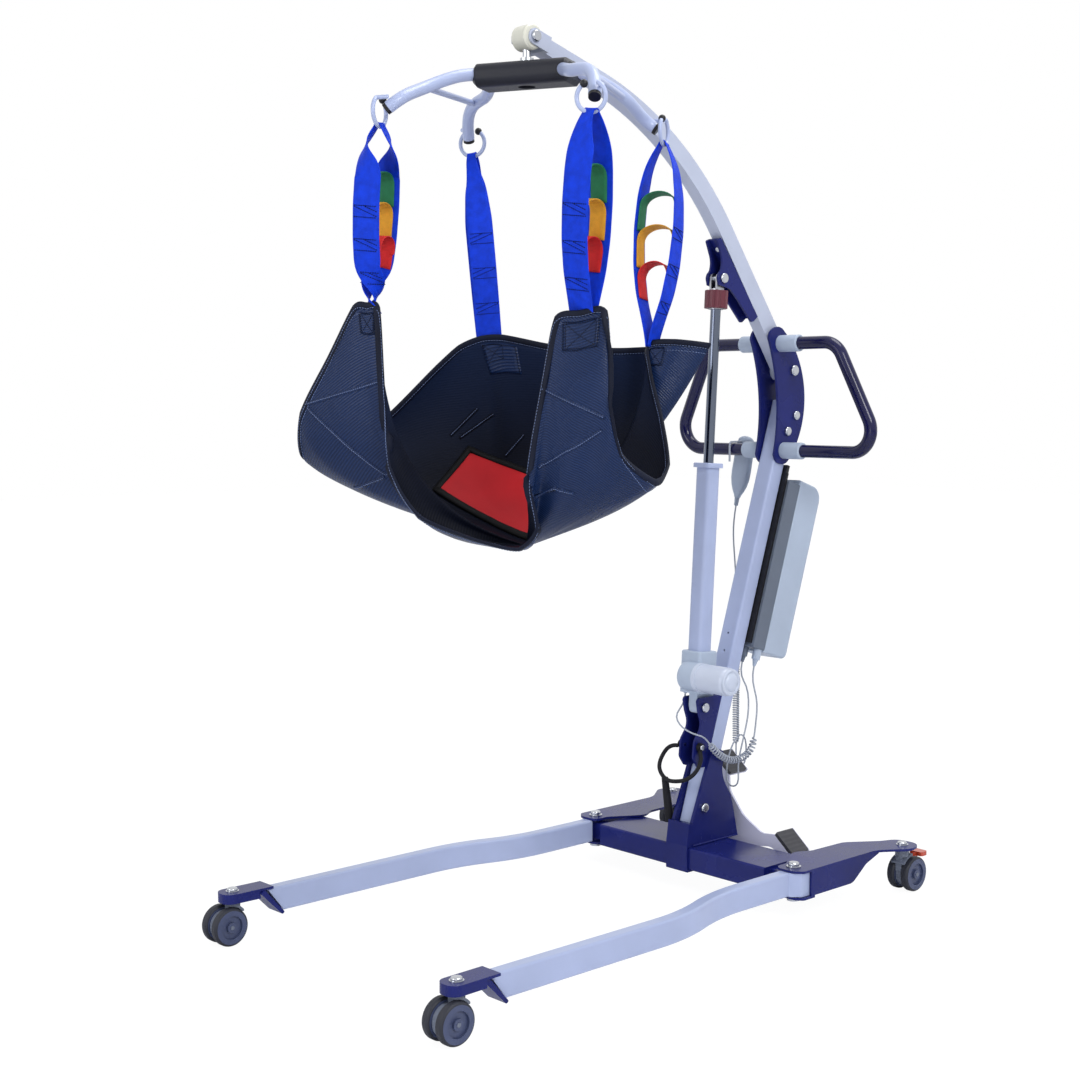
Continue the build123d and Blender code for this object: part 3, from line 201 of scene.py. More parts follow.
lavender = surface("paleFramePaint", (0.40, 0.46, 0.66), 0.32, coat=0.2, bump=0.10, vary=0.05, spec=0.35)
paleBoom = surface("paleBoomPaint", (0.48, 0.52, 0.64), 0.32, coat=0.2, bump=0.10, vary=0.04, spec=0.35)
navyPaint = surface("navyPaint", (0.009, 0.014, 0.125), 0.26, coat=0.05, bump=0.08, vary=0.18, spec=0.18)
darkNavy = surface("darkNavyTube", (0.006, 0.006, 0.05), 0.16, bump=0.05, vary=0.2, spec=0.35)
chrome = surface("chromedSteel", (0.50, 0.52, 0.56), 0.14, metal=1.0, bump=0.02, vary=0.06, roughVary=0.06)
zinc = surface("zincSteel", (0.42, 0.43, 0.47), 0.3, metal=1.0, bump=0.08, vary=0.1)
rodSteel = surface("rodSteel", (0.13, 0.15, 0.20), 0.12, metal=1.0, bump=0.02, vary=0.06, roughVary=0.05)
paleCase = surface("paleCase", (0.42, 0.49, 0.60), 0.4, bump=0.16, vary=0.05, grain=1600, spec=0.35)
greyCase = surface("greyCase", (0.13, 0.155, 0.20), 0.42, bump=0.2, vary=0.08, grain=1600, spec=0.3)
whiteCase = surface("whiteCase", (0.56, 0.61, 0.72), 0.34, coat=0.2, bump=0.06, vary=0.03, spec=0.4)
creamNylon = surface("creamNylon", (0.72, 0.71, 0.60), 0.4, bump=0.12, vary=0.06)
blackGrip = surface("blackGrip", (0.010, 0.011, 0.018), 0.42, bump=0.35, grain=2200, vary=0.2, spec=0.3)
blackPlastic = surface("blackPlastic", (0.010, 0.010, 0.012), 0.35, bump=0.15, vary=0.2, spec=0.3)
blackRubber = surface("blackRubber", (0.009, 0.009, 0.012), 0.6, bump=0.4, grain=1300, vary=0.25, spec=0.2)
tyreGrey = surface("tyreGrey", (0.022, 0.024, 0.034), 0.5, bump=0.25, grain=1200, vary=0.15, spec=0.3)
hubGrey = surface("hubGrey", (0.055, 0.07, 0.14), 0.35, bump=0.2, grain=1200, vary=0.1, spec=0.4)
casterGrey = surface("casterGrey", (0.15, 0.17, 0.22), 0.4, bump=0.2, grain=1400, vary=0.08, spec=0.3)
redPlastic = surface("redPlastic", (0.50, 0.055, 0.02), 0.3, coat=0.3, bump=0.08, vary=0.1)
stopRed = surface("stopRed", (0.55, 0.02, 0.02), 0.28, coat=0.3, bump=0.05, vary=0.1)
keyBlue = surface("keyBlue", (0.05, 0.2, 0.55), 0.5, bump=0.1, vary=0.1)
maroon = surface("maroonCollar", (0.13, 0.028, 0.042), 0.35, bump=0.12, vary=0.15, spec=0.3)
cordGrey = surface("cordGrey", (0.36, 0.39, 0.45), 0.45, bump=0.1, vary=0.06)
rockerWhite = surface("rockerWhite", (0.66, 0.66, 0.80), 0.3, coat=0.3, bump=0.08, vary=0.05)
padRubber = grooved("padRubber", (0.05, 0.05, 0.06), (0.02, 0.02, 0.026), 0.008)
strapBlue = webbing("strapBlue", (0.004, 0.055, 0.80), dark=0.42)
strapGreen = webbing("strapGreen", (0.03, 0.22, 0.10))
strapYellow = webbing("strapYellow", (0.85, 0.42, 0.04))
strapRed = webbing("strapRed", (0.75, 0.03, 0.03))
threadBlack = surface("threadBlack", (0.004, 0.005, 0.012), 0.6, bump=0.3, vary=0.1, spec=0.1)
slingOuter = ribbedCloth("slingOuter", (0.004, 0.013, 0.052), (0.018, 0.044, 0.135),
                         {"pitch": 0.005, "slant": 0.18, "bump": 0.5, "rough": 0.27, "gloss": 0.2})
# Inner skin: the outer navy painted near black as shade inside the bowl, with less painted shade towards the
# rim
slingInnerShaded = ribbedCloth("slingInnerShaded", (0.002, 0.003, 0.008), (0.004, 0.006, 0.017),
                         {"pitch": 0.005, "slant": 0.18, "bump": 0.3, "rough": 0.5, "gloss": 0.08,
                          "rim": (0.30, 0.52), "pale": (0.007, 0.015, 0.046)})
# Thread lighter than the cloth: partly painted highlight along the seams and rim, partly worn thread
seamThread = surface("seamThread", (0.13, 0.18, 0.34), 0.45, bump=0.5, grain=1500, vary=0.3)
bindingCloth = surface("bindingCloth", (0.0035, 0.006, 0.018), 0.5, bump=0.6, grain=1600, vary=0.3, spec=0.15)
padBinding = surface("padBinding", (0.004, 0.004, 0.005), 0.6, bump=0.5, grain=1500, vary=0.3, spec=0.15)
padRed = surface("padRed", (0.58, 0.016, 0.022), 0.62, bump=0.6, grain=700, vary=0.12, sheen=0.08, spec=0.2)

looks = {
    "cross_beam": navyPaint, "leg_pivot_bolts": chrome, "mast_socket": navyPaint,
    "mast_tube": lavender, "frame_bolts": chrome, "head_plates": navyPaint,
    "push_handles": darkNavy, "handle_collars": paleCase, "actuator_mount": navyPaint,
    "control_rail": blackPlastic, "control_box": greyCase, "battery_pack": paleCase,
    "stop_button": stopRed, "motor_plug": paleCase, "handset_plug": greyCase,
    "handset_body": paleCase, "handset_up_button": keyBlue, "handset_down_button": keyBlue,
    "rocker_plate": rockerWhite, "rocker_pads": padRubber, "lock_bail": blackRubber,
    "boom_tube": paleBoom, "rod_bracket": navyPaint, "boom_bolts": chrome,
    "actuator_rod": rodSteel, "rod_fork": zinc, "release_collar": maroon,
    "actuator_tube": lavender, "gear_housing": paleCase, "motor": whiteCase,
    "swivel_block": creamNylon, "swivel_stem": chrome, "spreader_frame": lavender,
    "spreader_cover": blackGrip, "end_plugs": blackPlastic, "hooks": lavender,
}
for side in ("left", "right"):
    looks.update({
        f"leg_tube_{side}": lavender, f"leg_bracket_{side}": navyPaint,
        f"caster_bolts_{side}": chrome, f"brake_pedal_{side}": redPlastic})
    for end in ("front", "rear"):
        looks[f"caster_{end}_{side}"] = casterGrey
        looks[f"wheels_{end}_{side}"] = tyreGrey
for name, mat in looks.items():
    mesh = nodes[name].data
    mesh.materials.clear()
    mesh.materials.append(mat)

# Hub faces of each wheel pair: those within hubR of the axle, which most flat faces look along
hubR = 0.033
for side in ("left", "right"):
    for end in ("front", "rear"):
        mesh = nodes[f"wheels_{end}_{side}"].data
        mesh.materials.append(hubGrey)
        facing = np.zeros((3, 3))
        for polygon in mesh.polygons:
            normal = np.array(polygon.normal)
            facing += np.outer(normal, normal) * polygon.area ** 2
        axle = np.linalg.eigh(facing)[1][:, 2]
        spots = np.array([v.co for v in mesh.vertices])
        middle = (spots.max(0) + spots.min(0)) / 2
        for polygon in mesh.polygons:
            away = np.array(polygon.center) - middle
            if np.linalg.norm(away - axle * away.dot(axle)) < hubR:
                polygon.material_index = 1
print("materials set")

# Camera: metres from the floor's origin, bearing and drop in degrees, lens in millimetres
shot = {"place": (2.424, -2.661, 1.059), "bearing": 47.5, "drop": 4.84, "lens": 55.93}
camera = bpy.data.objects.new("viewCamera", bpy.data.cameras.new("viewCamera"))
bpy.context.scene.collection.objects.link(camera)
camera.location = shot["place"]
camera.data.lens = shot["lens"]
camera.data.sensor_width = 36
camera.data.clip_end = 50
bearing = math.radians(shot["bearing"])
ahead = Vector((-math.sin(bearing), math.cos(bearing), -math.tan(math.radians(shot["drop"]))))
camera.rotation_euler = ahead.to_track_quat("-Z", "Y").to_euler()
bpy.context.scene.camera = camera


def addMesh(name, verts, faces, mat, body, uvs=None):
    mesh = bpy.data.meshes.new(name)
    mesh.from_pydata([tuple(v) for v in verts], [], faces)
    if uvs is not None:
        layer = mesh.uv_layers.new(name="UVMap")
        for loop in mesh.loops:
            layer.data[loop.index].uv = uvs[loop.vertex_index]
    mesh.materials.append(mat)
    for polygon in mesh.polygons:
        polygon.use_smooth = True
    mesh.update()
    obj = bpy.data.objects.new(name, mesh)
    bpy.context.scene.collection.objects.link(obj)
    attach(obj, body)
    return obj


# Quads between successive rings of points; wrap joins the last ring to the first
def ringFaces(rings, count, first=0, wrap=False):
    found = []
    for r in range(rings if wrap else rings - 1):
        a, b = first + r * count, first + (r + 1) % rings * count
        for k in range(count):
            n = (k + 1) % count
            found.append((a + k, a + n, b + n, b + k))
    return found


# Indices round the border of a square grid of points
def gridEdge(size):
    last = size - 1
    return ([i * size for i in range(last)] + [last * size + j for j in range(last)]
            + [i * size + last for i in range(last, 0, -1)] + list(range(last, 0, -1)))


def nurbsCurve(name, points, thick=0.0, steps=12):
    data = bpy.data.curves.new(name, "CURVE")
    data.dimensions = "3D"
    data.resolution_u = steps
    data.bevel_depth = thick
    data.bevel_resolution = 3
    spline = data.splines.new("NURBS")
    spline.points.add(len(points) - 1)
    for point, place in zip(spline.points, points):
        point.co = (*place, 1)
    spline.order_u = 3
    spline.use_endpoint_u = True
    obj = bpy.data.objects.new(name, data)
    bpy.context.scene.collection.objects.link(obj)
    return obj


# Smooth line of a route, read back from its spline
def routePoints(points, steps=16):
    temp = nurbsCurve("routeLine", points, 0.0, steps)
    bpy.context.view_layer.update()
    line = bpy.data.meshes.new_from_object(temp)
    found = [v.co.copy() for v in line.vertices]
    bpy.data.objects.remove(temp, do_unlink=True)
    return found


# Cord routes in millimetres: first lead, middle line of the curl, second lead; the wire's radius, the
# curl's radius and its pitch in metres
motorCord = {
    "leadA": [(-25.5, 12.48, 417.65), (-25.5, 11.37, 398.7), (-20, -26, 376), (10, -42, 358),
              (37, -32, 344), (46, -6, 336)],
    "curl": [(46, 13, 317), (46, 37, 293), (46, 78, 270), (46, 122, 270), (46, 153, 286)],
    "leadB": [(46, 160, 313), (46, 165.5, 343.25), (42, 176, 390), (29, 168.4, 440.1),
              (29, 177.1, 466.71)],
    "radius": 0.0018, "turn": 0.0067, "pitch": 0.0082,
}
handsetCord = {
    "leadA": [(-139.65, 306, 809.5), (-145.37, 306, 780.05), (-143, 301, 735), (-118, 284, 650),
              (-84, 246, 560), (-66, 227, 500)],
    "curl": [(-64, 225, 465), (-61, 222, 412.5), (-62, 223, 330)],
    "leadB": [(-61, 223.5, 271), (-60.4, 223.8, 235.6), (-41.5, 218, 224), (-22, 212, 236),
              (-13, 204, 290), (-5, 176, 312), (0, 146, 300), (0, 124, 262), (0, 120, 212),
              (19, 119, 201), (38, 120, 212), (32, 122, 258), (30, 142, 308), (22, 170, 362),
              (12, 178, 415), (5, 156.3, 448.25), (5, 165.03, 474.86)],
    "radius": 0.0018, "turn": 0.0065, "pitch": 0.0054,
}


# Lead with a wound middle: straight runs listed, the helix by a loop
def curlyCord(name, parts, replaced):
    steps = 12                      # points in each turn
    radius = parts["radius"]
    points = [Vector(p) / 1000 for key in ("leadA", "curl", "leadB") for p in parts[key]]
    line = routePoints(points)
    start, stop = Vector(parts["curl"][0]) / 1000, Vector(parts["leadB"][0]) / 1000
    first = min(range(len(line)), key=lambda i: (line[i] - start).length)
    last = min(range(len(line)), key=lambda i: (line[i] - stop).length)
    track = line[first:last + 1]
    lengths = [0.0]
    for a, b in zip(track, track[1:]):
        lengths.append(lengths[-1] + (b - a).length)
    total = lengths[-1]
    count = round(total / parts["pitch"]) * steps
    normal = Vector((1, 0, 0))
    helix = []
    j = 0
    for i in range(1, count):
        s = total * i / count
        while lengths[j + 1] < s:
            j += 1
        share = (s - lengths[j]) / (lengths[j + 1] - lengths[j])
        place = track[j].lerp(track[j + 1], share)
        along = (track[j + 1] - track[j]).normalized()
        normal = (normal - along * normal.dot(along)).normalized()
        side = along.cross(normal)
        ease = min(1.0, min(s, total - s) / 0.008)     # the winding opens over its first 8 mm
        angle = 2 * math.pi * i / steps
        helix.append(place + (normal * math.cos(angle) + side * math.sin(angle)) * parts["turn"] * ease)
    lead = [Vector(p) / 1000 for p in parts["leadA"]] + [start]
    tail = [Vector(p) / 1000 for p in parts["leadB"]]
    cord = nurbsCurve(name, lead + helix + tail, radius, 3)
    cord.data.materials.append(cordGrey)
    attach(cord, "base")
    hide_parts(*replaced)
    bpy.context.view_layer.update()
    shape = routePoints(lead + helix + tail, 3)


curlyCord("motorLead", motorCord, ("motor_cord", "motor_cord_curl"))
curlyCord("handsetLead", handsetCord, ("handset_cord", "handset_cord_curl"))
print("cords made")

# Hand control: place and hook wire in metres, levels in millimetres as (level, half width, half depth)
handsetForm = {
    "place": (-0.124, 0.306, 0.890), "lean": 11, "around": 40, "square": 0.72, "roundBelow": -50,
    "levels": [(82, 6, 4), (80, 12, 8.5), (75, 18.5, 11.5), (64, 21.5, 12.6), (40, 23.5, 13), (0, 24.5, 13),
               (-18, 23.5, 12.6), (-34, 19.5, 11.5), (-46, 14.5, 9.5), (-56, 9.5, 7.6), (-62, 7, 6.6)],
    "relief": {"from": -62, "long": 20, "radii": (6.2, 4.6), "ribs": 7},
    "hook": [(-0.116, 0.299, 0.9589), (-0.116, 0.270, 0.9589), (-0.116, 0.2551, 0.9589),
             (-0.116, 0.2551, 0.942), (-0.116, 0.2551, 0.914)],
}
handsetTurn = (Matrix.Translation(handsetForm["place"])
               @ Matrix.Rotation(math.radians(handsetForm["lean"]), 4, "Y"))
levels = list(handsetForm["levels"])
relief = handsetForm["relief"]
for i in range(relief["ribs"]):
    for share, grow in ((0.0, 1.0), (0.5, 1.0), (0.55, 0.78), (0.95, 0.78)):
        k = (i + share) / relief["ribs"]
        radius = (relief["radii"][0] * (1 - k) + relief["radii"][1] * k) * grow
        levels.append((relief["from"] - relief["long"] * k, radius, radius))
around = handsetForm["around"]
verts = []
for z, wide, deep in levels:
    power = handsetForm["square"] if z > handsetForm["roundBelow"] else 1.0
    for k in range(around):
        c, d = math.cos(2 * math.pi * k / around), math.sin(2 * math.pi * k / around)
        x = math.copysign(abs(c) ** power, c) * wide
        y = math.copysign(abs(d) ** power, d) * deep
        verts.append(handsetTurn @ Vector((x / 1000, y / 1000, z / 1000)))
faces = [face[::-1] for face in ringFaces(len(levels), around)]
faces.append(tuple(range(around)))
faces.append(tuple((len(levels) - 1) * around + k for k in range(around))[::-1])
handset = addMesh("handsetShell", verts, faces, paleCase, "base")
hookWire = nurbsCurve("handsetHook", handsetForm["hook"], 0.0024)
hookWire.data.materials.append(cordGrey)
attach(hookWire, "base")
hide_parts("handset_body")
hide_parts("handset_body")
print("handset made")

# Domed end cap of the motor: end in metres, crown and (radius, height) in millimetres, turned about X
motorCap = {
    "end": Vector((0.1171, 0.0, 0.461)), "around": 48, "crown": 5.5,
    "outline": [(9, 5.2), (15, 4.2), (18.5, 2.2), (19.5, 0.3), (21.5, 0.3), (22.5, 1.6), (27.5, 1.4),
                (28.5, -0.5)],
}
around = motorCap["around"]
verts = [motorCap["end"] + Vector((motorCap["crown"] / 1000, 0, 0))]
for radius, high in motorCap["outline"]:
    for k in range(around):
        c, d = math.cos(2 * math.pi * k / around), math.sin(2 * math.pi * k / around)
        verts.append(motorCap["end"] + Vector((high, radius * c, radius * d)) / 1000)
faces = [(0, 1 + k, 1 + (k + 1) % around) for k in range(around)]
faces += [face[::-1] for face in ringFaces(len(motorCap["outline"]), around, 1)]
addMesh("motorEndCap", verts, faces, whiteCase, "drive")
print("motor cap made")

# Hanger at rest, in metres and degrees
hanger = {"place": (0, -0.474, 0), "turned": 26.3, "hooks": 1.56}
hangerTurn = Matrix.Translation(hanger["place"]) @ Matrix.Rotation(math.radians(hanger["turned"]), 4, "Z")


# Hanger-local millimetres to world metres
def hang(x, y, z):
    return hangerTurn @ Vector((x / 1000, y / 1000, z / 1000))


def softPiece(obj, *replaced):
    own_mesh(obj)
    if replaced:
        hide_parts(*replaced)
    return obj


# Closed profile of (across, up) metres swept along centre; sides point across
def sweepProfile(name, centre, sides, profile, mat, scales=None, closed=False):
    verts, uvs = [], []
    count, n, run = len(centre), len(profile), 0.0
    for i in range(count):
        before = centre[(i - 1) % count if closed else max(0, i - 1)]
        after = centre[(i + 1) % count if closed else min(count - 1, i + 1)]
        along = (after - before).normalized()
        side = (sides[i] - along * sides[i].dot(along)).normalized()
        up = along.cross(side)
        run += (centre[i] - centre[i - 1]).length if i else 0.0
        wide = scales[i] if scales else 1.0
        for a, b in profile:
            verts.append(centre[i] + side * (a * wide) + up * b)
            uvs.append((a * wide, run))
    faces = ringFaces(count, n, wrap=closed)
    if not closed:
        faces.append(tuple(range(n))[::-1])
        faces.append(tuple((count - 1) * n + k for k in range(n)))
    return addMesh(name, verts, faces, mat, "hanger", uvs=uvs)


# Flat woven band, cupped a little across its width
def bandProfile(thick, cup=0.0):
    rows = [-1, -0.94, -0.5, 0, 0.5, 0.94, 1]
    top = [(a / 2, (0.5 if abs(a) < 1 else 0.12) * thick + cup * a * a) for a in rows]
    low = [(a / 2, (-0.5 if abs(a) < 1 else -0.12) * thick + cup * a * a) for a in reversed(rows)]
    return top + low


# Point at share a of a run of evenly shared stops
def between(stops, a):
    marks = np.linspace(0, 1, len(stops))
    return Vector([float(np.interp(a, marks, values)) for values in zip(*stops)])


# Raised stitches, one mesh for many short rows
def threadRow(name, rows, thick, mat):
    verts, faces = [], []
    for a, b in rows:
        along = (b - a).normalized()
        side = along.orthogonal().normalized()
        other = along.cross(side)
        faces += ringFaces(4, 5, len(verts))
        for place, scale in ((a, 0.4), (a.lerp(b, 0.2), 1.0), (a.lerp(b, 0.8), 1.0), (b, 0.4)):
            for k in range(5):
                angle = k * math.pi / 2.5
                verts.append(place + (side * math.cos(angle) + other * math.sin(angle)) * thick * scale)
    return addMesh(name, verts, faces, mat, "hanger")


# A run of points cut into stitches of the given length, with small gaps
def stitches(points, long=0.0036, gap=0.0011):
    marks = [0.0]
    for a, b in zip(points, points[1:]):
        marks.append(marks[-1] + (b - a).length)
    found, s, j = [], 0.0, 0

    def at(s):
        nonlocal j
        while j < len(marks) - 2 and marks[j + 1] < s:
            j += 1
        share = (s - marks[j]) / max(1e-9, marks[j + 1] - marks[j])
        return points[j].lerp(points[j + 1], min(1.0, share))

    while s + long < marks[-1]:
        a = at(s)
        found.append((a, at(s + long)))
        s += long + gap
    return found


# Straps. ends: which hook, lower end in hanger-local millimetres; turn: degrees about the loop's own
# length at shares of it; spread: how far the two legs part at the hook; wide: width at shares of the length;
# half: half the loop's opening at shares of the length; loops: top, foot and webbing of the coloured loops
straps = {
    "ends": [((0, -1), (-246, -174, 1222)), ((1, -1), (-150, 171, 1166)),
             ((1, 1), (172, -160, 1196)), ((0, 1), (207, 144, 1158))],
    "turn": [[(0, 0), (0.06, 8), (0.24, 88), (0.78, 92), (0.90, 178), (1.0, 262)],
             [(0, 0), (0.15, 26), (1.0, 27)],
             [(0, -30), (0.16, -13), (1.0, -19)],
             [(0, 0), (0.8, -12), (1.0, -27)]],
    "spread": [0.96, 0.62, 0.92, 1.0],
    "wide": [[(0, 20), (0.05, 27), (0.13, 42), (0.24, 55), (0.74, 55), (0.90, 28), (1.0, 44)],
             [(0, 19), (0.09, 27), (0.18, 42), (0.34, 53), (1.0, 52)],
             [(0, 30), (0.07, 40), (0.17, 56), (0.8, 57), (1.0, 55)],
             [(0, 26), (0.09, 40), (0.2, 53), (0.7, 52), (1.0, 30)]],
    "half": [(0, 6.4), (0.05, 17), (0.12, 28), (0.26, 38), (0.42, 41.5), (0.6, 38), (0.75, 28), (0.88, 13),
             (0.96, 4.5), (1.0, 2.2)],
    "loops": [("Green", 0.24, 0.425, strapGreen), ("Yellow", 0.405, 0.605, strapYellow),
              ("Red", 0.585, 0.76, strapRed)],
    "stitched": (0.425, 0.605, 0.785), "patterns": [((-1, 0), (1, 0)), ((-1, 1), (1, 1)),
                                                    ((-1, 0.08), (1, 0.92)), ((-0.1, 0.05), (1, 0.5))],
    "thick": 0.0022, "bend": 6.4, "loopWide": 0.035, "shoulder": 0.075,
    "legSteps": 60, "bendSteps": 8, "loopSteps": 16,
}
ringR = 27.0


# Middle of a hook's ring and the way it points, hanger-local millimetres
def hookFrame(which, side):
    if which == 0:
        return Vector((side * 211, side * 205, 1585)), Vector((0, side, 0))
    return Vector((side * 205, -side * 211, 1585)), Vector((side, 0, 0))


# Table value at s, eased over its corners
def curveAt(table, s):
    xs, ys = zip(*table)
    near = [min(1.0, max(0.0, s + d)) for d in (-0.03, -0.015, 0.0, 0.015, 0.03)]
    return float(np.mean(np.interp(near, xs, ys))) if 0.02 < s < 0.98 else float(np.interp(s, xs, ys))


stitchRows = []
hookTips = []
for number, (hook, low) in enumerate(straps["ends"]):
    origin, outward = hookFrame(*hook)
    hookTips.append(hang(*(origin + outward * (-0.5 * ringR) + Vector((0, 0, 0.866 * ringR)))))
    top = origin - Vector((0, 0, ringR))
    run = Vector(low) - top
    across = run.cross(outward).normalized()
    down = run.normalized()
    level = across.cross(down).normalized()
    long = run.length

    def frameAt(s):
        turn = math.radians(curveAt(straps["turn"][number], min(1.0, max(0.0, s))))
        c, d = math.cos(turn), math.sin(turn)
        return across * c + level * d, level * c - across * d

    def place(x, s, z=0.0):
        sideways, flat = frameAt(s)
        return hang(*(top + sideways * x + down * (s * long) + flat * z))

    def halfAt(s):
        gap = straps["spread"][number]
        return curveAt(straps["half"], s) * (gap + (1 - gap) * max(0.0, 1 - s / 0.08))

    def flatAt(s):
        return hangerTurn.to_3x3() @ frameAt(s)[1]

    # The band itself: down one leg, round the hook, down the other
    shares = [1 - i / straps["legSteps"] for i in range(straps["legSteps"] + 1)]
    bend, turns = straps["bend"], straps["bendSteps"]
    table = straps["wide"][number]
    centre = [place(-halfAt(s), s) for s in shares]
    for k in range(1, turns):
        angle = math.pi * (1 - k / turns)
        centre.append(place(bend * math.cos(angle), -bend * math.sin(angle) / long))
    centre += [place(halfAt(s), s) for s in reversed(shares)]
    flats = [flatAt(s) for s in shares]
    sides = flats + [flatAt(0)] * (turns - 1) + flats[::-1]
    widths = [curveAt(table, s) / 1000 for s in shares]
    widths += [table[0][1] / 1000] * (turns - 1) + widths[::-1]
    strap = sweepProfile(f"slingStrap{number + 1}", centre, sides, bandProfile(straps["thick"], 0.0006),
                         strapBlue, scales=widths)
    softPiece(strap, "sling_straps")

    # Box stitches on both legs, 1.9 mm out from the band's middle and 21 mm tall
    edge, tall = 1.9, 21 / long
    for flip in (-1, 1):
        for share in straps["stitched"]:
            half = curveAt(table, share + 0.03) / 2 - 2.5      # 2.5 mm in from the band's edge
            for a, b in straps["patterns"]:
                row = []
                for k in range(9):
                    z = a[0] + (b[0] - a[0]) * k / 8
                    s = share + tall * (a[1] + (b[1] - a[1]) * k / 8)
                    row.append(place(flip * (halfAt(s) + edge), s, z * half))
                stitchRows.extend(stitches(row))

    # Coloured length loops sewn between the two legs; the first strap's red one bulges forward
    for word, share, foot, colour in straps["loops"]:
        shoulder = share + straps["shoulder"]
        sag = 7.0 if (number, word) == (0, "Red") else 0.0
        legs = [foot + (shoulder - foot) * k / 8 for k in range(8)]
        inset, arc = 2.8, straps["loopSteps"]
        reach = halfAt(shoulder) - inset
        path = [place(-halfAt(s) + inset, s, sag) for s in legs]
        for k in range(arc + 1):
            angle = math.pi * k / arc
            s = shoulder - straps["shoulder"] * math.sin(angle) ** 0.75
            path.append(place(-reach * math.cos(angle) * (1 - 0.05 * math.sin(angle)), s, sag * 1.6))
        path += [place(halfAt(s) - inset, s, sag) for s in legs[::-1]]
        flats = [flatAt(s) for s in legs]
        flats = flats + [flatAt(shoulder)] * (arc + 1) + flats[::-1]
        loop = sweepProfile(f"strapLoop{word}{number + 1}", path, flats, bandProfile(0.002, 0.0004), colour,
                            scales=[straps["loopWide"]] * len(path))
        softPiece(loop, "sling_loops")
softPiece(threadRow("strapStitches", stitchRows, 0.00075, threadBlack))
print("straps made")

# Black caps on the hook tips
verts, faces = [], []
for tip in hookTips:
    ball = bmesh.new()
    bmesh.ops.create_uvsphere(ball, u_segments=20, v_segments=12, radius=0.0074)
    base = len(verts)
    verts += [tip + v.co for v in ball.verts]
    faces += sorted(tuple(base + v.index for v in f.verts) for f in ball.faces)   # same order each run
    ball.free()
addMesh("hookTipCaps", verts, faces, blackPlastic, "hanger")

# Sling: rim points and the pull point of the cloth below each, hanger-local millimetres
slingCut = {
    "floor": (10.0, -30.0, 774.0),
    "rim": (
        ((-30, -168, 793), (-20, -120, 772)), ((48, -166, 781), (45, -120, 770)),
        ((92, -180, 826), (80, -160, 782)), ((76, -188, 930), (84, -200, 802)),
        ((106, -184, 1100), (102, -215, 818)), ((126, -178, 1205), (122, -220, 832)),
        ((172, -176, 1215), (185, -230, 838)), ((222, -172, 1214), (230, -215, 850)),
        ((226, -172, 1060), (260, -180, 862)), ((238, -145, 962), (280, -150, 876)),
        ((282, -70, 908), (288, -90, 872)), ((288, 0, 936), (268, 0, 868)),
        ((250, 70, 1030), (240, 55, 880)), ((216, 112, 1110), (222, 84, 903)),
        ((202, 140, 1168), (204, 102, 908)), ((262, 130, 1172), (197, 120, 912)),
        ((324, 150, 1164), (192, 142, 908)), ((262, 196, 1163), (180, 178, 876)),
        ((150, 182, 1158), (160, 215, 830)), ((60, 164, 1158), (70, 220, 805)),
        ((-22, 164, 1168), (-30, 220, 795)), ((-119, 166, 1187), (-130, 215, 805)),
        ((-165, 158, 1185), (-185, 205, 815)), ((-205, 138, 1166), (-235, 185, 825)),
        ((-242, 108, 1124), (-290, 150, 840)), ((-332, 40, 1015), (-360, 60, 862)),
        ((-418, -50, 935), (-392, -40, 872)), ((-430, -125, 955), (-408, -120, 880)),
        ((-412, -155, 1030), (-397, -172, 882)), ((-344, -172, 1131), (-350, -190, 885)),
        ((-280, -182, 1232), (-295, -200, 880)), ((-250, -184, 1237), (-255, -205, 870)),
        ((-224, -186, 1228), (-230, -205, 855)), ((-215, -187, 1080), (-228, -195, 838)),
        ((-205, -184, 930), (-192, -175, 806)), ((-150, -174, 838), (-120, -135, 779))),
    "thick": 3.6, "binding": 12.0, "flat": (1.0, 0.85), "perRim": 5, "rows": 34,
    "thread": 0.0006, "stitch": (0.0034, 0.001), "rimStitch": (0.0042, 0.0014),
}
rim = slingCut["rim"]
rimCount = len(rim)


# Catmull-Rom round the rim, pulled a little towards the straight runs
def rimAt(u, which):
    k, f = int(math.floor(u)) % rimCount, u - math.floor(u)
    p = [np.array(rim[(k + d) % rimCount][which], float) for d in (-1, 0, 1, 2)]
    smooth = 0.5 * ((2 * p[1]) + (p[2] - p[0]) * f + (2 * p[0] - 5 * p[1] + 4 * p[2] - p[3]) * f * f
                    + (3 * p[1] - p[0] - 3 * p[2] + p[3]) * f ** 3)
    return smooth * 0.65 + (p[1] * (1 - f) + p[2] * f) * 0.35


# Folds of the hanging cloth in millimetres: soft waves, gathers beside the fourth strap, one pleat
def foldAt(u, t):
    wave = 2.4 * math.sin(u * 1.9 + t * 5.0) * math.sin(t * math.pi) + 1.2 * math.sin(u * 4.1 - t * 9)
    wave *= min(1.0, t * 1.6) * (0.35 + 0.65 * (1 - t))
    gather = math.exp(-((u - 18.6) / 1.0) ** 2) * max(0.0, t - 0.45) * 1.6
    wave += 5.0 * gather * math.sin((u - 17) * 9.5 + (1 - t) * 5)
    pleat = math.exp(-((u - 21.3) / 0.9) ** 2) * math.exp(-((t - 0.78) / 0.12) ** 2)
    return wave + 5.0 * pleat * math.sin((u - 20) * 5)


# Middle of the cloth: u counts round the rim points, t climbs from the floor to the rim
def middleAt(u, t):
    u = u % rimCount
    edge, pull = rimAt(u, 0), rimAt(u, 1)
    return np.array(slingCut["floor"]) * (1 - t) ** 2 + pull * (2 * t * (1 - t)) + edge * t * t


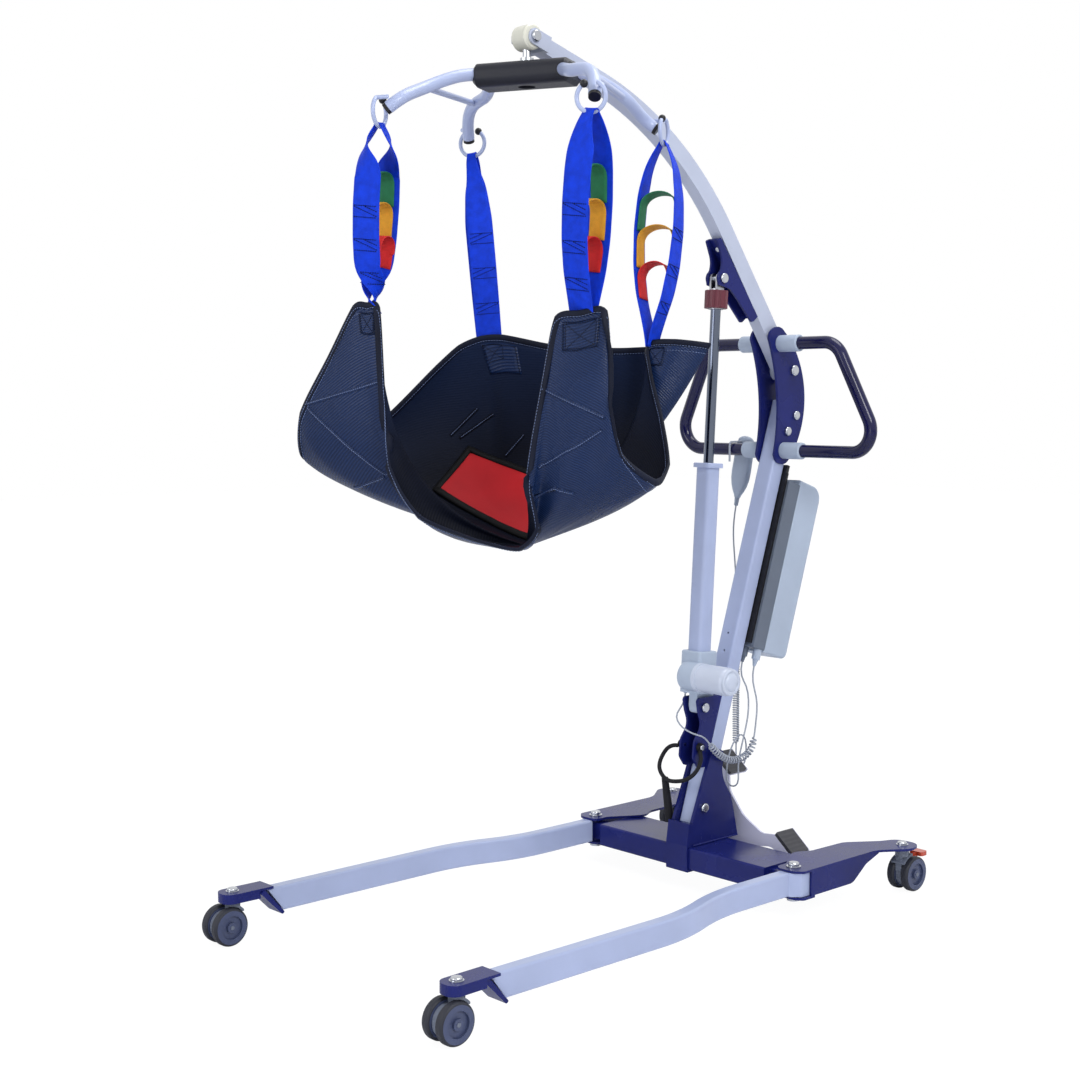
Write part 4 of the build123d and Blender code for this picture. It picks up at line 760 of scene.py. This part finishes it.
# Point of the cloth, "out" millimetres outside its middle
def clothAt(u, t, out=0.0):
    here = middleAt(u, t)
    along = middleAt(u + 0.08, t) - middleAt(u - 0.08, t)
    rise = middleAt(u, min(1.0, t + 0.02)) - middleAt(u, max(0.0, t - 0.02))
    normal = np.cross(along, rise)
    size = float(np.linalg.norm(normal))
    normal = normal / size if size > 1e-6 else np.array((0.0, 0.0, -1.0))
    return Vector(here + normal * (out + foldAt(u % rimCount, t)))


perRim, rows = slingCut["perRim"], slingCut["rows"]
around = rimCount * perRim
verts, faces, uvs = [], [], []
for out in (slingCut["thick"] / 2, -slingCut["thick"] / 2):
    centre = clothAt(0, 0.0, 0)
    centre.z -= out
    verts.append(hang(*centre))
    uvs.append((centre.x / 1000, 0.0))
    climbed = [0.0] * around
    last = [centre] * around
    for r in range(1, rows + 1):
        for i in range(around):
            point = clothAt(i / perRim, r / rows, out)
            climbed[i] += (point - last[i]).length
            last[i] = point
            verts.append(hang(*point))
            uvs.append((point.x / 1000, climbed[i] / 1000))
layer = 1 + rows * around
for skin in (0, 1):
    base = skin * layer
    for i in range(around):
        n = (i + 1) % around
        faces.append((base, base + 1 + i, base + 1 + n)[::-1 if skin else 1])
        for r in range(rows - 1):
            a, b = base + 1 + r * around + i, base + 1 + r * around + n
            faces.append((a, a + around, b + around, b)[::-1 if skin else 1])
skinFaces = len(faces) // 2
for i in range(around):
    n = (i + 1) % around
    a, b = 1 + (rows - 1) * around + i, 1 + (rows - 1) * around + n
    faces.append((a, b, b + layer, a + layer)[::-1])
sling = addMesh("slingCloth", verts, faces, slingOuter, "hanger", uvs=uvs)
sling.data.materials.append(slingInnerShaded)
for polygon in sling.data.polygons:
    polygon.material_index = 1 if polygon.index >= skinFaces else 0
softPiece(sling, "sling")

# Binding folded over the rim, with its rows of stitches: depth under the rim and way out, millimetres
perRim = 8
rimLine = [hang(*clothAt(i / perRim, 1.0)) for i in range(rimCount * perRim)]
rimDown = []
rimRows = {"outer": (10.5, 3.2), "second": (21.0, 2.2), "inner": (10.5, -3.2)}
rowLines = {key: [] for key in rimRows}
for i in range(rimCount * perRim):
    u = i / perRim
    rise = (clothAt(u, 1.0) - clothAt(u, 0.94)).length / 0.06
    rimDown.append((hang(*clothAt(u, 0.95)) - rimLine[i]).normalized())
    for key, (depth, out) in rimRows.items():
        rowLines[key].append(hang(*clothAt(u, 1.0 - depth / rise, out)))
fold = slingCut["binding"] / 1000
half = [(fold, 0.0017), (fold * 0.93, 0.0029), (0.0015, 0.0030), (-0.0014, 0.0015)]
profile = half + [(a, -b) for a, b in reversed(half)]
binding = softPiece(sweepProfile("slingBinding", rimLine, rimDown, profile, bindingCloth, closed=True))
rimStitches = []
for line in rowLines.values():
    rimStitches += stitches(line + line[:1], *slingCut["rimStitch"])
rimThread = softPiece(threadRow("slingRimStitches", rimStitches, slingCut["thread"], seamThread))

# The two skins as search trees, to lay pieces on the cloth
outerTree = BVHTree.FromPolygons(verts[:layer], faces[:skinFaces])
innerFaces = [[v - layer for v in face] for face in faces[skinFaces:skinFaces * 2]]
innerTree = BVHTree.FromPolygons(verts[layer:], innerFaces)


# Nearest point of the skin on the given side, and the way out of the cloth there
def onSkin(place, outward):
    near, far = (outerTree, innerTree) if outward > 0 else (innerTree, outerTree)
    found = near.find_nearest(place)[0]
    return found, (found - far.find_nearest(found)[0]).normalized()


# Felled seams: 1 outside or -1 inside, then hanger-local millimetres along the cloth
slingSeams = [
    (1, [(-391, -162, 1047), (-215, -187, 1092)]),
    (1, [(-390, -163, 1040), (-232, -142, 911), (-203, -180, 935)]),
    (1, [(-314, -120, 886), (-236, -141, 909)]),
    (1, [(105, -186, 1075), (220, -175, 1023)]),
    (1, [(213, -173, 1000), (93, -178, 931)]),
    (1, [(88, -190, 893), (112, -190, 884), (136, -182, 876), (160, -168, 868)]),
    (-1, [(-174, 161, 1037), (-221, 127, 981)]),
    (-1, [(-142, 169, 1026), (-204, 136, 976)]),
    (-1, [(-74, 170, 983), (-110, 157, 938)]),
    (1, [clothAt(17.6, 0.97), clothAt(17.8, 0.7), clothAt(18.0, 0.4), clothAt(18.0, 0.2)]),
    (1, [clothAt(23.6, 0.97), clothAt(23.4, 0.7), clothAt(23.2, 0.4), clothAt(23.0, 0.2)]),
]
seamRows = []
seamSteps = 40
ridge = [(-0.004, -0.0004), (-0.0036, 0.0005), (-0.0012, 0.0014), (0.0012, 0.0014), (0.0036, 0.0005),
         (0.004, -0.0004), (0, -0.0006)]
for number, (outward, stops) in enumerate(slingSeams, 1):
    line = [between(stops, k / seamSteps) for k in range(seamSteps + 1)]
    for _ in range(3):              # ease the corners between the given points
        eased = [(a + b * 2 + c) / 4 for a, b, c in zip(line, line[1:], line[2:])]
        line = [line[0], *eased, line[-1]]
    laid = [onSkin(hang(*p), outward) for p in line]
    centre = [p + n * 0.0003 for p, n in laid]
    across = []
    for k, (_, normal) in enumerate(laid):
        across.append(normal.cross(centre[min(seamSteps, k + 1)] - centre[max(0, k - 1)]))
    cloth = slingOuter if outward > 0 else slingInnerShaded
    softPiece(sweepProfile(f"slingSeam{number}", centre, across, ridge, cloth))
    seamRows += stitches([p + n * 0.0019 for p, n in laid], *slingCut["stitch"])
softPiece(threadRow("slingSeamStitches", seamRows, slingCut["thread"], seamThread))

# Reinforcing patches: 1 outside or -1 inside, four (u, t) corners and the crossed square stitched on them
fullSquare = [(0.1, 0.08), (0.9, 0.08), (0.9, 0.92), (0.1, 0.92)]
slingPatches = [
    (-1, ((22.0, 0.978), (20.65, 0.978), (20.56, 0.90), (21.55, 0.885)),
     [(0.05, 0.04), (0.72, 0.04), (0.68, 0.5), (0.12, 0.6)]),
    (1, ((5.35, 0.975), (6.75, 0.975), (6.7, 0.90), (5.4, 0.90)), fullSquare),
    (1, ((30.4, 0.975), (31.7, 0.975), (31.6, 0.915), (30.5, 0.915)), fullSquare),
    (1, ((14.05, 0.972), (14.75, 0.972), (14.75, 0.90), (14.05, 0.90)), fullSquare),
    (1, ((22.1, 0.978), (20.6, 0.978), (20.6, 0.90), (22.0, 0.90)), fullSquare),
]
# Millimetres out of the cloth's middle: the patch's face and foot, its thread, and how far its rim dips
patchForm = {"grid": 9, "face": 3.2, "foot": 1.9, "thread": 3.7, "dip": 0.5, "weave": 0.006}
size = patchForm["grid"]
edge = gridEdge(size)
border = [(0.03, 0.03), (0.97, 0.03), (0.97, 0.97), (0.03, 0.97), (0.03, 0.03)]
patchRows = []
for number, (outward, corners, square) in enumerate(slingPatches, 1):
    corners = np.array(corners)

    def patchAt(a, b, out):
        near = (1 - a) * corners[0] + a * corners[1]
        far = (1 - a) * corners[3] + a * corners[2]
        u, t = (1 - b) * near + b * far
        return hang(*clothAt(u, t, outward * out))

    verts, uvs = [], []
    for out in (patchForm["face"], patchForm["foot"]):
        for i in range(size):
            for j in range(size):
                onRim = min(i, j, size - 1 - i, size - 1 - j) == 0
                dip = patchForm["dip"] if onRim and out == patchForm["face"] else 0.0
                verts.append(patchAt(i / (size - 1), j / (size - 1), out - dip))
                uvs.append((i * patchForm["weave"], j * patchForm["weave"]))
    faces = []
    for i in range(size - 1):
        for j in range(size - 1):
            a = i * size + j
            faces.append((a, a + size, a + size + 1, a + 1)[::-outward])
    for a, b in zip(edge, edge[1:] + edge[:1]):
        faces.append((a, b, b + size * size, a + size * size)[::outward])
    softPiece(addMesh(f"slingPatch{number}", verts, faces, slingOuter, "hanger", uvs=uvs))
    for path in (border, square + square[:1], square[::2], square[1::2]):
        points = []
        for a, b in zip(path, path[1:]):
            for k in range(7):
                spot = [a[i] + (b[i] - a[i]) * k / 6 for i in (0, 1)]
                points.append(patchAt(*spot, patchForm["thread"]))
        patchRows += stitches(points, *slingCut["stitch"])
softPiece(threadRow("slingPatchStitches", patchRows, slingCut["thread"], threadBlack))
print("sling made")

# Padded seat liner laid on the cloth inside, with a bound edge; thickness at its middle and edge, millimetres
seatPad = {
    "back": ((-183, 136, 958), (-99, 147, 926), (-15, 143, 900)),
    "middle": ((-212, 98, 905), (-110, 102, 862), (22, 88, 824)),
    "front": ((-224, 50, 870), (-95, 34, 808), (62, -14, 780)),
    "crown": 10.0, "edge": 4.0, "lift": 0.8, "grid": 25,
}


# Point of the liner on the sling's inner skin, a across and b from back to front
def padAt(a, b):
    back, middle, front = (between(seatPad[key], a) for key in ("back", "middle", "front"))
    pull = middle * 2 - (back + front) / 2
    return onSkin(hang(*(back * (1 - b) ** 2 + pull * (2 * b * (1 - b)) + front * b * b)), -1)


grid = seatPad["grid"]
laid = [padAt(i / (grid - 1), j / (grid - 1)) for i in range(grid) for j in range(grid)]
points = [place for place, normal in laid]
normals = [normal for place, normal in laid]
for _ in range(3):                  # smooth the lie of the pad; its outline stays
    for store in (points, normals):
        old = [v.copy() for v in store]
        for i in range(grid):
            for j in range(grid):
                near = [old[a * grid + b] for a, b in ((i - 1, j), (i + 1, j), (i, j - 1), (i, j + 1))
                        if 0 <= a < grid and 0 <= b < grid]
                if len(near) == 4 or store is normals:
                    store[i * grid + j] = (old[i * grid + j] * 2 + sum(near, Vector()) / len(near) * 2) / 4
upper, lower, faces = [], [], []
for i in range(grid):
    for j in range(grid):
        a, b = i / (grid - 1), j / (grid - 1)
        swell = (1 - (2 * a - 1) ** 4) * (1 - (2 * b - 1) ** 4)
        tall = seatPad["edge"] + (seatPad["crown"] - seatPad["edge"]) * swell ** 0.6
        k = i * grid + j
        normal = normals[k].normalized()
        upper.append(points[k] + normal * tall / 1000)
        lower.append(points[k] + normal * seatPad["lift"] / 1000)
for i in range(grid - 1):
    for j in range(grid - 1):
        a = i * grid + j
        faces.append((a, a + 1, a + grid + 1, a + grid))
        a += grid * grid
        faces.append((a, a + grid, a + grid + 1, a + 1))
edge = gridEdge(grid)
for a, b in zip(edge, edge[1:] + edge[:1]):
    faces.append((a, a + grid * grid, b + grid * grid, b))
pad = softPiece(addMesh("seatPad", upper + lower, faces, padRed, "hanger"))
edgeLine = [upper[k].lerp(lower[k], 0.5) for k in edge]
middle = sum(edgeLine, Vector()) / len(edgeLine)
edgeIn = [(middle - p).normalized() for p in edgeLine]
profile = [(0.011, 0.0032), (0.002, 0.0042), (-0.003, 0.0022), (-0.003, -0.0022), (0.002, -0.0036),
           (0.011, -0.003)]
softPiece(sweepProfile("seatPadBinding", edgeLine, edgeIn, profile, padBinding, closed=True))
print("seat pad made")

# Pale floor that keeps a soft shadow, washed towards white for the camera
floorForm = {"half": 14, "level": -0.0005, "color": (0.88, 0.88, 0.9), "glow": 1.08, "wash": 0.88}
floorMat, tree, bsdf = newMaterial("paleFloor")
bsdf.inputs["Base Color"].default_value = (*floorForm["color"], 1)
bsdf.inputs["Roughness"].default_value = 0.55
glow = addNode(tree, "ShaderNodeEmission", in_Strength=floorForm["glow"])
seen = addNode(tree, "ShaderNodeLightPath").outputs["Is Camera Ray"]
wash = addNode(tree, "ShaderNodeMath", [(0, seen)], operation="MULTIPLY")
wash.inputs[1].default_value = floorForm["wash"]
mix = addNode(tree, "ShaderNodeMixShader", [(0, wash.outputs[0]), (1, bsdf.outputs[0]), (2, glow.outputs[0])])
tree.links.new(mix.outputs[0], tree.nodes["Material Output"].inputs["Surface"])
floorMesh = bpy.data.meshes.new("studioFloor")
corners = [(-1, -1), (1, -1), (1, 1), (-1, 1)]
floorVerts = [(x * floorForm["half"], y * floorForm["half"], floorForm["level"]) for x, y in corners]
floorMesh.from_pydata(floorVerts, [], [(0, 1, 2, 3)])
floorMesh.materials.append(floorMat)
floorPlane = bpy.data.objects.new("studioFloor", floorMesh)
bpy.context.scene.collection.objects.link(floorPlane)

# Cool surroundings that light the object, and white where they are seen, mirrored or seen through
world = bpy.data.worlds.new("studio")
bpy.context.scene.world = world
world.use_nodes = True
tree = world.node_tree
background = tree.nodes["Background"]
background.inputs["Color"].default_value = (0.86, 0.9, 1.0, 1)
background.inputs["Strength"].default_value = 0.52
white = addNode(tree, "ShaderNodeBackground")
white.inputs["Color"].default_value = (1, 1, 1, 1)
path = addNode(tree, "ShaderNodeLightPath")
seen = path.outputs["Is Camera Ray"]
for ray in ("Is Glossy Ray", "Is Transmission Ray"):
    either = addNode(tree, "ShaderNodeMath", [(0, seen), (1, path.outputs[ray])], operation="MAXIMUM")
    seen = either.outputs[0]
mix = addNode(tree, "ShaderNodeMixShader", [(0, seen), (1, background.outputs[0]), (2, white.outputs[0])])
tree.links.new(mix.outputs[0], tree.nodes["World Output"].inputs["Surface"])

lamps = {
    "keyLight": {"place": (3.4, -1.2, 3.0), "target": (0, -0.3, 0.9), "size": 1.6, "power": 72},
    "fillLight": {"place": (-0.6, -4.2, 2.0), "target": (0, -0.3, 0.8), "size": 2.2, "power": 40},
    "topLight": {"place": (0.5, 0.6, 4.0), "target": (0, -0.3, 0.9), "size": 2.0, "power": 52},
    "lowLight": {"place": (2.2, -3.2, 0.25), "target": (0.1, -0.2, 0.4), "size": 1.2, "power": 10},
}
for name, lamp in lamps.items():
    light = bpy.data.lights.new(name, "AREA")
    light.shape = "DISK"
    light.size = lamp["size"]
    light.energy = lamp["power"]
    obj = bpy.data.objects.new(name, light)
    obj.location = lamp["place"]
    aim = Vector(lamp["target"]) - Vector(lamp["place"])
    obj.rotation_euler = aim.to_track_quat("-Z", "Y").to_euler()
    bpy.context.scene.collection.objects.link(obj)

bpy.context.scene.view_settings.view_transform = "Standard"
print("scene done")
